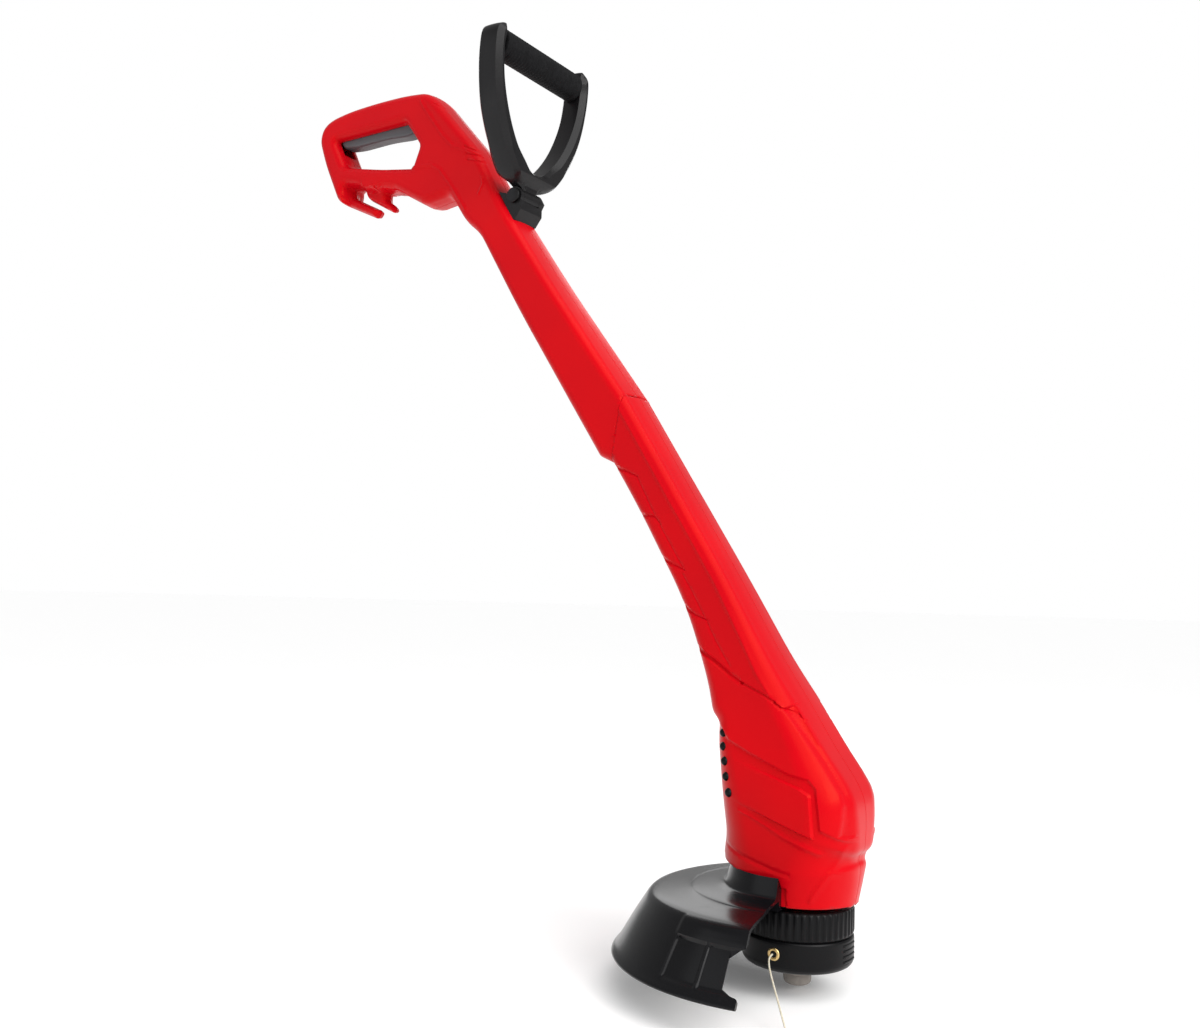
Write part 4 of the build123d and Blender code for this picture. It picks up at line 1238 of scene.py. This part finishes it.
# ------------------------------------------------------------------ guard
@dataclass
class Guard:
    """The black hood: collar, sloping roof, skirt and its stiff near end."""

    finishes: Finishes
    start: float = 99.0
    sweep: float = 179.0
    skirt_r: float = 130.0

    def build(self) -> None:
        """Make the hood as a closed profile carried round the spool axis.

        The profile is an outer run and an inner run. Near the end the skirt below the upper
        band is drawn in, a rib stands on it, and its edge is set back between band and foot.
        """
        outer = np.array(
            [(44.3, 51.2), (44.3, 82), (46, 84), (49, 82), (50.6, 78), (53.2, 70), (55.6, 62), (57.4, 58.4),
             (62, 57.2), (70, 56.6), (82, 55.4), (84, 54.2), (97, 52.9), (104, 52.3), (110, 51.6),
             (114, 50.3), (117, 47.8), (121, 41.5), (127, 32), (133, 22), (138, 13.2), (141, 8.4),
             (143.4, 6.2), (144.6, 4.6), (144.4, 3.2), (142.6, 2.9)],
            float,
        )
        inner = np.array(
            [(140.8, 3.2), (138.6, 6.8), (135.4, 13), (130.5, 21), (124.4, 31), (118.6, 40.4),
             (115.4, 45.6), (112.6, 47.6), (108, 48.9), (97, 50.3), (84, 51.8), (70, 53.8), (60, 55.0),
             (53, 55.2), (50, 54.8), (50, 47.9), (49.4, 47.5), (22.6, 47.5), (22, 48), (22, 50),
             (44.3, 50)],
            float,
        )
        outer = resampled(outer, 140)
        kernel = np.ones(5) / 5
        softened = [np.convolve(np.pad(c, 2, mode="edge"), kernel, mode="valid") for c in outer.T]
        outer[3:-3] = np.stack(softened, 1)[3:-3]
        profile = np.concatenate([outer, inner])
        turn = np.concatenate(
            [
                np.linspace(0.0, 4.0, 9)[:-1],
                np.linspace(4.0, self.sweep - 31.0, 100)[:-1],
                np.linspace(self.sweep - 31.0, self.sweep, 120),
            ]
        )
        angles = np.radians(self.start + turn)
        grid = around(profile, angles)
        radius = np.hypot(grid[..., 0], grid[..., 1])
        height = grid[..., 2]
        from_end = (self.sweep - turn)[:, None] * math.pi / 180.0 * self.skirt_r
        skirt = (np.arange(len(profile)) < len(outer))[None] & (radius > 112.0)
        level = smooth((38.0 - height) / 2.0) * smooth((height - 9.5) / 2.5)
        rib = np.exp(-(((from_end - 31.0) / 1.3) ** 4))
        sink = -2.2 * level * smooth((62.0 - from_end) / 2.0) * (1.0 - 0.8 * rib)
        within = smooth((height - 37.5) / 2.0) * smooth((52.0 - height) / 3.0)
        band = 1.2 * within * smooth((66.0 - from_end) / 6.0)
        grid = swollen(grid, np.where(skirt, sink + band, 0.0))
        back = 12.0 / self.skirt_r * level * (radius > 104.0) * smooth((26.0 - from_end) / 26.0)
        cos, sin = np.cos(back), np.sin(back)
        east, north = grid[..., 0].copy(), grid[..., 1].copy()
        grid[..., 0], grid[..., 1] = cos * east + sin * north, cos * north - sin * east
        seam_line = 64.0 + (10.0 - grid[..., 0]) * 11.0 / 56.0 - 0.4
        collar = (radius < 52.0) & (height > 57.0)
        grid[..., 2] = np.where(collar, np.minimum(height, seam_line), height)
        skin = Skin()
        skin.grid(row(grid), wrap_v=True)
        tris = self._cap(profile)
        for end in (0, -1):
            skin.add(row(grid[end]), tris)
        piece = skin.piece("guard_hood_skin", self.finishes.hood, crease=34.0)
        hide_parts("guard_hood")
        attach(piece, "housing")

    def _cap(self, profile: np.ndarray) -> np.ndarray:
        """Triangles that fill the profile, for the hood's two ends."""
        index = np.arange(len(profile))
        edges = np.stack([index, np.roll(index, -1)], 1)
        found = delaunay_2d_cdt(
            [Vector(p) for p in profile.tolist()], [tuple(e) for e in edges.tolist()], [], 0, 1e-7, True
        )
        origin = np.array([ids[0] if ids else -1 for ids in found[3]])
        tris = np.array(found[2], int)
        spots = np.array([tuple(v) for v in found[0]], float)
        tris = tris[inside(spots[tris].mean(1), profile)]
        tris = origin[tris]
        return tris[(tris >= 0).all(1)]


# ------------------------------------------------------------------ loop handle
@dataclass
class LoopHandle:
    """The tilting front handle: its arms, its foam grip and its mount."""

    finishes: Finishes
    pivot: tuple[float, float] = (-291.0, 650.0)
    tilt: float = 4.0
    reach: float = 129.0
    grip_half: float = 58.0
    grip_r: float = 13.5

    def axes(self) -> tuple[np.ndarray, ...]:
        """Origin at the pivot, across to the left, up the loop, and its forward normal."""
        t = math.radians(self.tilt)
        origin = HEAD + np.array([self.pivot[0], 0.0, self.pivot[1]]) * MM
        up = np.array([math.sin(t), 0.0, math.cos(t)])
        out = np.array([math.cos(t), 0.0, -math.sin(t)])
        return origin, np.array([0.0, 1.0, 0.0]), up, out

    def arms(self) -> None:
        """The open loop, with chamfered edges and a sunk inner face."""
        right = [
            Corner(11, 0.5, 0.5),
            Corner(11, 8, 2),
            Corner(17, 10, 4),
            Corner(25, 13, 6),
            Corner(33, 20, 7),
            Corner(50, 42, 12),
            Corner(62, 65, 12),
            Corner(68, 86, 12),
            Corner(72, 114, 14),
            Corner(71.5, 136, 8),
            Corner(66, 143, 3.5),
            Corner(59, 144.5, 2),
            Corner(58, 132, 1.5),
            Corner(60, 125, 6),
            Corner(57.9, 100, 12),
            Corner(51, 78, 12),
            Corner(40, 56, 12),
            Corner(26, 38, 10),
            Corner(10, 23.5, 6),
        ]
        outline = right + [Corner(-c.x, c.z, c.ease) for c in reversed(right)]
        plate = Plate(
            outline=outline,
            half=lambda at: np.where(at[:, 1] < 12, 6.0, 6.0 + 8.0 * smooth((at[:, 1] - 10.0) / 10.0)),
            drop=lambda at: 1.6 + 3.0 * smooth((at[:, 1] - 10.0) / 10.0),
            reach=lambda at: 3.0 + 2.0 * smooth((at[:, 1] - 30.0) / 15.0),
            crown=always(0.5),
            chamfer=True,
            pitch=1.8,
            lattice=2.4,
        )
        skin = Skin()
        plate.build(skin, self.axes(), (-1, 1))
        hub = np.stack(
            [
                np.array([4.1, 8.5, 8.5, 4.1, 4.1])[:, None] * np.ones(48),
                np.array([-11.0, -11.0, 11.0, 11.0, -11.0])[:, None] * np.ones(48),
            ],
            -1,
        )
        turn = np.linspace(0.0, math.tau, 48, endpoint=False)[None]
        ring = np.stack(
            [
                self.pivot[0] + hub[..., 0] * np.cos(turn),
                hub[..., 1],
                self.pivot[1] + hub[..., 0] * np.sin(turn),
            ],
            -1,
        )
        skin.grid(row(ring[:-1]), wrap_u=True, wrap_v=True)
        piece = skin.piece("assist_loop_skin", self.finishes.loop, crease=24.0)
        bevel = piece.modifiers.new("edges", "BEVEL")
        bevel.width = 0.0005
        bevel.segments = 2
        bevel.limit_method = "ANGLE"
        bevel.angle_limit = math.radians(28.0)
        bevel.harden_normals = False
        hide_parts("assist_loop")
        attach(piece, "assist_handle")

    def grip(self) -> None:
        """The foam sleeve: radius 13.5 less fine ribs, with a collar at each end, slightly oval."""
        origin, across, up, out = self.axes()
        middle = origin + up * self.reach * MM
        y = np.linspace(-self.grip_half, self.grip_half, 261)
        turn = np.linspace(0.0, math.tau, 128, endpoint=False)
        wave = 0.5 - 0.5 * np.cos(math.tau * y / 4.0)
        ribs = 0.30 * wave * smooth((self.grip_half - 7.0 - np.abs(y)) / 1.5)
        end = np.maximum(np.abs(y) - (self.grip_half - 1.6), 0.0) / 1.6
        groove = 0.9 * np.exp(-(((np.abs(y) - self.grip_half + 6.5) / 0.8) ** 2))
        radius = self.grip_r - 0.1 - ribs - groove - 1.6 * (1.0 - np.sqrt(np.maximum(1.0 - end**2, 0.0)))
        radius = np.concatenate([[8.3], radius, [8.3]])
        y = np.concatenate([y[:1], y, y[-1:]])
        flat = 1.0 - 0.02 * np.cos(2 * turn)[None]
        r = radius[:, None] * flat
        surface = (
            middle
            + (y[:, None, None] * across
               + (r * np.cos(turn))[..., None] * out
               + (r * np.sin(turn))[..., None] * up) * MM
        )
        inner_r = np.full((2, 1), 8.3)
        inner_y = np.array([self.grip_half, -self.grip_half])
        inner = (
            middle
            + (inner_y[:, None, None] * across
               + (inner_r * np.cos(turn))[..., None] * out
               + (inner_r * np.sin(turn))[..., None] * up) * MM
        )
        skin = Skin()
        skin.grid(np.concatenate([surface, inner]), wrap_u=True, wrap_v=True)
        piece = skin.piece("assist_grip_sleeve", self.finishes.foam, crease=50.0)
        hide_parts("assist_grip")
        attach(piece, "assist_handle")

    def bar(self) -> None:
        """The bar inside the sleeve, closed at both ends."""
        origin, across, up, out = self.axes()
        middle = origin + up * self.reach * MM
        y = np.array([-62.0, -62.0, 62.0, 62.0])
        r = np.array([0.0, 7.9, 7.9, 0.0])
        turn = np.linspace(0.0, math.tau, 48, endpoint=False)
        surface = (
            middle
            + (y[:, None, None] * across
               + (r[:, None] * np.cos(turn))[..., None] * out
               + (r[:, None] * np.sin(turn))[..., None] * up) * MM
        )
        skin = Skin()
        skin.grid(surface, wrap_v=True)
        piece = skin.piece("assist_bar", self.finishes.loop)
        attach(piece, "assist_handle")

    def build(self) -> None:
        """Make the handle."""
        self.arms()
        self.bar()
        self.grip()


# ------------------------------------------------------------------ head
@dataclass
class SpoolHead:
    """The turning head: ribbed ring, drum, eyelet, knob and the free end of the line."""

    finishes: Finishes
    line: float = 1.4
    route: tuple[tuple[float, float, float], ...] = (
        (0.479, -0.039, -0.7496),
        (0.479, -0.048, -0.75),
        (0.483, -0.057, -0.753),
        (0.49, -0.067, -0.758),
        (0.499, -0.078, -0.765),
        (0.508, -0.089, -0.7725),
        (0.5167, -0.0994, -0.7798),
        (0.521, -0.1045, -0.7835),
    )

    def free_line(self) -> None:
        """The cutting line, a smooth curve out of the eyelet."""
        curve = bpy.data.curves.new("cutting_line_free", "CURVE")
        curve.dimensions = "3D"
        curve.bevel_depth = self.line * MM / 2
        curve.bevel_resolution = 6
        curve.resolution_u = 10
        curve.use_fill_caps = True
        spline = curve.splines.new("NURBS")
        spline.points.add(len(self.route) - 1)
        for point, place in zip(spline.points, self.route):
            point.co = (*place, 1.0)
        spline.order_u = 3
        spline.use_endpoint_u = True
        curve.materials.append(self.finishes.line)
        piece = bpy.data.objects.new("cutting_line_free", curve)
        bpy.context.scene.collection.objects.link(piece)
        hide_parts("cutting_line")
        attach(piece, "head")

    def ring(self) -> None:
        """The upper ring: 48 ribs, each a squared sine wave round the rim."""
        outer = np.array(
            [(12, 46.3), (39, 46.3), (41.2, 46.0), (42.2, 45), (42.2, 43.6), (42.2, 27.5), (42.2, 25.6),
             (41.6, 24.6), (41.2, 24.2)],
            float,
        )
        inner = np.array([(39.4, 24.2), (39.4, 42.8), (38.8, 43.3), (12, 43.3)], float)
        profile = np.concatenate([outer, inner])
        turn = np.linspace(0.0, math.tau, 48 * 12, endpoint=False)
        grid = around(profile, turn)
        wave = np.clip(1.6 * np.cos(48 * turn), -1.0, 1.0)[:, None] * 0.5 + 0.5
        where = np.zeros(len(profile))
        where[4:6] = 1.0
        skin = Skin()
        skin.grid(row(swollen(grid, 0.9 * wave * where[None])), wrap_u=True, wrap_v=True)
        flange = eased(
            [(4.1, 8, 0.3), (6, 8, 0.3), (6, 41.3, 0.4), (12, 41.3, 0.3), (12.2, 46.2, 0.3), (4.1, 46.2, 0.2)]
        )
        angles = np.linspace(0.0, math.tau, 64, endpoint=False)
        skin.grid(row(around(flange, angles)), wrap_u=True, wrap_v=True)
        piece = skin.piece("spool_housing_skin", self.finishes.black, crease=35.0)
        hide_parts("spool_housing")
        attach(piece, "head")

    def drum(self) -> None:
        """The lower drum, with two ladders of latch ridges and a rolled lip below."""
        outer = np.array(
            [(11.4, 0.1), (30, 0.05), (36.5, 0.2), (38.6, 0.7), (40.6, 1.9), (42.0, 3.6), (42.8, 5.6),
             (43, 7.2), (43, 9), (43, 11), (43, 13), (43, 15), (43, 17), (43, 19), (43, 21),
             (42.9, 22.6), (42.3, 23.6), (41.4, 24)],
            float,
        )
        outer = resampled(outer, 69)
        inner = np.array([(40.2, 23.9), (40, 22), (40, 4.4), (39, 3.2), (11.4, 3.0)], float)
        profile = np.concatenate([outer, inner])
        turn = np.linspace(0.0, math.tau, 360, endpoint=False)
        grid = around(profile, turn)
        ladders = [smooth((0.24 - np.abs(turn - at)) / 0.03) for at in (0.0, math.tau, math.pi)]
        wide = np.max(ladders, axis=0)[:, None]
        steps = np.clip(np.cos(math.tau * (profile[:, 1] - 8.0) / 4.0) * 2.0, 0.0, 1.0)
        steps = steps * smooth((profile[:, 1] - 6.0) / 1.0) * smooth((22.0 - profile[:, 1]) / 1.0)
        steps[len(outer) :] = 0.0
        skin = Skin()
        skin.grid(row(swollen(grid, 0.8 * wide * steps[None])), wrap_u=True, wrap_v=True)
        piece = skin.piece("spool_cap_skin", self.finishes.black, crease=40.0)
        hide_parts("spool_cap")
        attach(piece, "head")

    def eyelet(self) -> None:
        """The brass eyelet: a round bead about a short tube, on the drum's near side."""
        profile = np.array(
            [(2.3, 3.4), (2.2, 0.6), (2.6, -0.2), (3.4, -0.55), (4.4, -0.4), (5.0, 0.2), (5.0, 0.9),
             (3.6, 1.2), (3.6, 3.4)],
            float,
        )
        turn = np.linspace(0.0, math.tau, 64, endpoint=False)[:, None]
        x = profile[None, :, 0] * np.cos(turn)
        z = profile[None, :, 0] * np.sin(turn) + 14.4
        drum = np.sqrt(np.maximum(43.0**2 - x**2, 0.0))
        y = -drum + profile[None, :, 1]
        skin = Skin()
        skin.grid(row(np.stack([x, y, z], -1)), wrap_u=True, wrap_v=True)
        piece = skin.piece("line_eyelet_ring", self.finishes.brass, crease=50.0)
        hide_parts("line_eyelet")
        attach(piece, "head")

    def knob(self) -> None:
        """The tap knob: a stepped, scuffed button with a rounded foot."""
        profile = np.array(
            [(0.0, -16.6), (5, -16.9), (8, -16.7), (9.4, -16.0), (10.4, -14.6), (10.8, -12.6), (10.8, -9.5),
             (10.4, -8.9), (10.4, -8.1), (10.9, -7.6), (10.9, 3.2), (13.8, 3.5), (13.8, 5.5), (6.5, 5.5),
             (6.5, -7.6), (0.0, -8.0)],
            float,
        )
        turn = np.linspace(0.0, math.tau, 96, endpoint=False)
        grid = around(profile, turn)
        foot = (profile[:, 1] < -10) & (profile[:, 0] > 8)
        flutes = 1.0 - 0.035 * (np.cos(6 * turn) > 0.75)[:, None] * foot[None]
        grid[..., 0] *= flutes
        grid[..., 1] *= flutes
        skin = Skin()
        skin.grid(row(grid), wrap_u=True)
        piece = skin.piece("tap_knob_skin", self.finishes.knob, crease=35.0)
        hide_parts("tap_knob")
        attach(piece, "tap_knob")

    def build(self) -> None:
        """Make the head."""
        self.ring()
        self.drum()
        self.eyelet()
        self.knob()


# ------------------------------------------------------------------ small visible parts
@dataclass
class Fittings:
    """The trigger bar and the CAD pieces that only need their edges eased."""

    finishes: Finishes

    def trigger(self) -> None:
        """The long grey trigger with its rounded lower edge."""
        outline = [
            Corner(-428, 755, 2),
            Corner(-436, 752.2, 2),
            Corner(-531, 752.2, 1),
            Corner(-531, 755.8, 0.6),
            Corner(-540, 755.8, 0.6),
            Corner(-540, 753.4, 0.6),
            Corner(-534.6, 753.2, 0.5),
            Corner(-533, 751, 1),
            Corner(-533, 747, 1.5),
            Corner(-529.5, 743, 3),
            Corner(-512, 741, 8),
            Corner(-470, 741.5, 12),
            Corner(-440, 739, 6),
            Corner(-430, 741, 4),
            Corner(-421, 752, 3),
        ]
        plate = Plate(
            outline=outline, half=always(8.0), drop=always(3.0), reach=always(2.6), crown=always(0.0),
            pitch=1.2, lattice=1.8,
        )
        skin = Skin()
        plate.build(skin, SIDE_AXES, (-1, 1))
        turn = np.linspace(0.0, math.tau, 40, endpoint=False)[None]
        r = np.array([2.05, 5.5, 5.5, 2.05])[:, None]
        y = np.array([-8.0, -8.0, 8.0, 8.0])[:, None]
        eye = np.stack([-424.0 + r * np.cos(turn), y + 0 * turn, 757.0 + r * np.sin(turn)], -1)
        skin.grid(row(eye), wrap_u=True, wrap_v=True)
        piece = skin.piece("trigger_bar", self.finishes.trigger)
        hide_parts("trigger")
        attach(piece, "trigger")

    def softened(self, node: str, slot: str, finish: bpy.types.Material, width: float) -> None:
        """A CAD piece with its edges eased.

        Args:
            node: the CAD node.
            slot: its material slot; not used.
            finish: its material.
            width: how wide the eased edge is, in millimetres.
        """
        source = frame["nodes"][node]
        mesh = source.data.copy()
        work = bmesh.new()
        work.from_mesh(mesh)
        bmesh.ops.remove_doubles(work, verts=work.verts, dist=0.00001)
        bmesh.ops.dissolve_limit(work, angle_limit=math.radians(1.0), verts=work.verts, edges=work.edges)
        work.to_mesh(mesh)
        work.free()
        mesh.materials.clear()
        mesh.materials.append(finish)
        mesh.polygons.foreach_set("use_smooth", np.ones(len(mesh.polygons), bool))
        piece = bpy.data.objects.new(f"{node}_eased", mesh)
        bpy.context.scene.collection.objects.link(piece)
        bevel = piece.modifiers.new("edges", "BEVEL")
        bevel.width = width * MM
        bevel.segments = 3
        bevel.limit_method = "ANGLE"
        bevel.angle_limit = math.radians(35.0)
        bevel.use_clamp_overlap = True
        mesh.set_sharp_from_angle(angle=math.radians(40.0))
        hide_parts(node)
        body = next(b for b, members in frame["record"]["behaviour"]["bodies"].items() if node in members)
        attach(piece, body)

    def build(self) -> None:
        """Make the fittings."""
        self.trigger()
        f = self.finishes
        self.softened("handle_mount", "black_shell", f.loop, 1.0)
        self.softened("mains_inlet", "black_shell", f.black, 0.4)
        self.softened("inlet_pins", "brass", f.brass, 0.5)
        self.softened("pivot_bolt", "steel", f.blackened, 0.5)
        self.softened("pivot_nut", "black_shell", f.loop, 0.6)
        self.softened("line_cutter", "steel", f.steel, 0.15)
        self.softened("cutter_screws", "steel", f.steel, 0.3)


# ------------------------------------------------------------------ studio
@dataclass
class Studio:
    """The floor, the lights and the camera."""

    floor_level: float = -0.786
    place: tuple[float, float, float] = (0.8801, -0.8801, -0.4861)
    yaw: float = 34.1
    pitch: float = 3.9
    roll: float = 1.5
    lens: float = 36.05

    def camera(self) -> None:
        """The camera, looking a little upward from the right and in front."""
        yaw, pitch, roll = (math.radians(a) for a in (self.yaw, self.pitch, self.roll))
        ahead = Vector((-math.sin(yaw) * math.cos(pitch), math.cos(yaw) * math.cos(pitch), math.sin(pitch)))
        right = Vector((math.cos(yaw), math.sin(yaw), 0.0))
        up = right.cross(ahead)
        x_axis = right * math.cos(roll) + up * math.sin(roll)
        y_axis = up * math.cos(roll) - right * math.sin(roll)
        turn = Matrix((x_axis, y_axis, -ahead)).transposed().to_4x4()
        data = bpy.data.cameras.new("camera")
        data.lens = self.lens
        data.sensor_width = 36.0
        data.sensor_fit = "HORIZONTAL"
        data.clip_end = 100.0
        camera = bpy.data.objects.new("camera", data)
        camera.matrix_world = Matrix.Translation(self.place) @ turn
        bpy.context.scene.collection.objects.link(camera)
        bpy.context.scene.camera = camera

    def lamp(self, name: str, place: tuple, target: tuple, size: float, power: float, colour: Colour) -> None:
        """A square soft light aimed at a point."""
        data = bpy.data.lights.new(name, "AREA")
        data.size = size
        data.energy = power
        data.color = colour
        lamp = bpy.data.objects.new(name, data)
        lamp.location = place
        lamp.rotation_euler = (Vector(target) - Vector(place)).to_track_quat("-Z", "Y").to_euler()
        bpy.context.scene.collection.objects.link(lamp)

    def sun(self, towards: tuple[float, float, float], strength: float, spread: float) -> None:
        """A wide soft sun, standing for a ceiling of light, that lights the floor evenly."""
        data = bpy.data.lights.new("sky", "SUN")
        data.energy = strength
        data.angle = math.radians(spread)
        lamp = bpy.data.objects.new("sky", data)
        lamp.rotation_euler = Vector(towards).to_track_quat("Z", "Y").to_euler()
        bpy.context.scene.collection.objects.link(lamp)

    def build(self) -> None:
        """Make the studio."""
        self.camera()
        turn = np.linspace(0.0, math.tau, 96, endpoint=False)
        radius = np.array([0.001, 1.0, 3.0, 8.0, 20.0, 40.0])
        disc = np.stack(
            [
                radius[:, None] * np.cos(turn),
                radius[:, None] * np.sin(turn),
                np.full((len(radius), len(turn)), self.floor_level),
            ],
            -1,
        )
        board = Board(
            "pale_floor",
            {"Specular IOR Level": 0.1, "Roughness": 0.8, "Emission Color": (1.0, 1.0, 1.0, 1.0),
             "Emission Strength": 0.09},
        )
        mottle = board.noise(3.0, 3.0, board.place())
        board.set("Base Color", board.mix(mottle, (0.955, 0.955, 0.955), (0.975, 0.975, 0.975)))
        skin = Skin()
        skin.grid(disc, wrap_v=True, flip=True)
        floor = skin.piece("floor", board.material, outward=False)
        self.sun((1.0, -0.42, 1.05), 2.5, 70.0)
        self.lamp("key", (2.2, -0.5, 0.5), (0.2, 0.0, -0.35), 0.9, 16.0, (1.0, 0.985, 0.96))
        self.lamp("fill", (-0.9, -2.2, 0.3), (0.2, 0.0, -0.4), 2.0, 7.0, (0.97, 0.985, 1.0))
        self.lamp("rim", (-0.8, 1.7, 0.5), (0.2, 0.0, -0.3), 1.2, 9.0, (1.0, 1.0, 1.0))
        world = bpy.data.worlds.new("studio")
        world.use_nodes = True
        tree = world.node_tree
        backdrop = tree.nodes["Background"]
        backdrop.inputs["Color"].default_value = (1.0, 1.0, 1.0, 1.0)
        backdrop.inputs["Strength"].default_value = 0.40
        bright = tree.nodes.new("ShaderNodeBackground")
        bright.inputs["Strength"].default_value = 1.0
        bright.inputs["Color"].default_value = (1.0, 1.0, 1.0, 1.0)
        path = tree.nodes.new("ShaderNodeLightPath")
        both = tree.nodes.new("ShaderNodeMixShader")
        tree.links.new(path.outputs["Is Camera Ray"], both.inputs[0])
        tree.links.new(backdrop.outputs[0], both.inputs[1])
        tree.links.new(bright.outputs[0], both.inputs[2])
        tree.links.new(both.outputs[0], tree.nodes["World Output"].inputs["Surface"])
        bpy.context.scene.world = world
        bpy.context.scene.view_settings.view_transform = "Standard"


def dress_nodes(finishes: Finishes) -> None:
    """Give every CAD node that stays its procedural finish, by its record slot."""
    slots = {part["node"]: part["material_slot"] for part in frame["record"]["subparts"]}
    for name, thing in frame["nodes"].items():
        if thing.hide_render:
            continue
        finish = finishes.by_node.get(name) or finishes.by_slot[slots[name]]
        thing.data.materials.clear()
        thing.data.materials.append(finish)
        thing.data.polygons.foreach_set("use_smooth", np.ones(len(thing.data.polygons), bool))
        LOG.info("%s keeps its CAD shape, in %s", name, finish.name)


def main() -> None:
    """Build every sub-assembly in order."""
    logging.basicConfig(level=logging.INFO, format="%(message)s")
    studio = Studio()
    studio.build()
    finishes = Finishes()
    head = SpoolHead(finishes)
    head.free_line()
    for part in (RedBody(finishes), Guard(finishes), LoopHandle(finishes), head, Fittings(finishes)):
        part.build()
        LOG.info("built %s", type(part).__name__)
    dress_nodes(finishes)


if __name__ == "__main__":
    main()
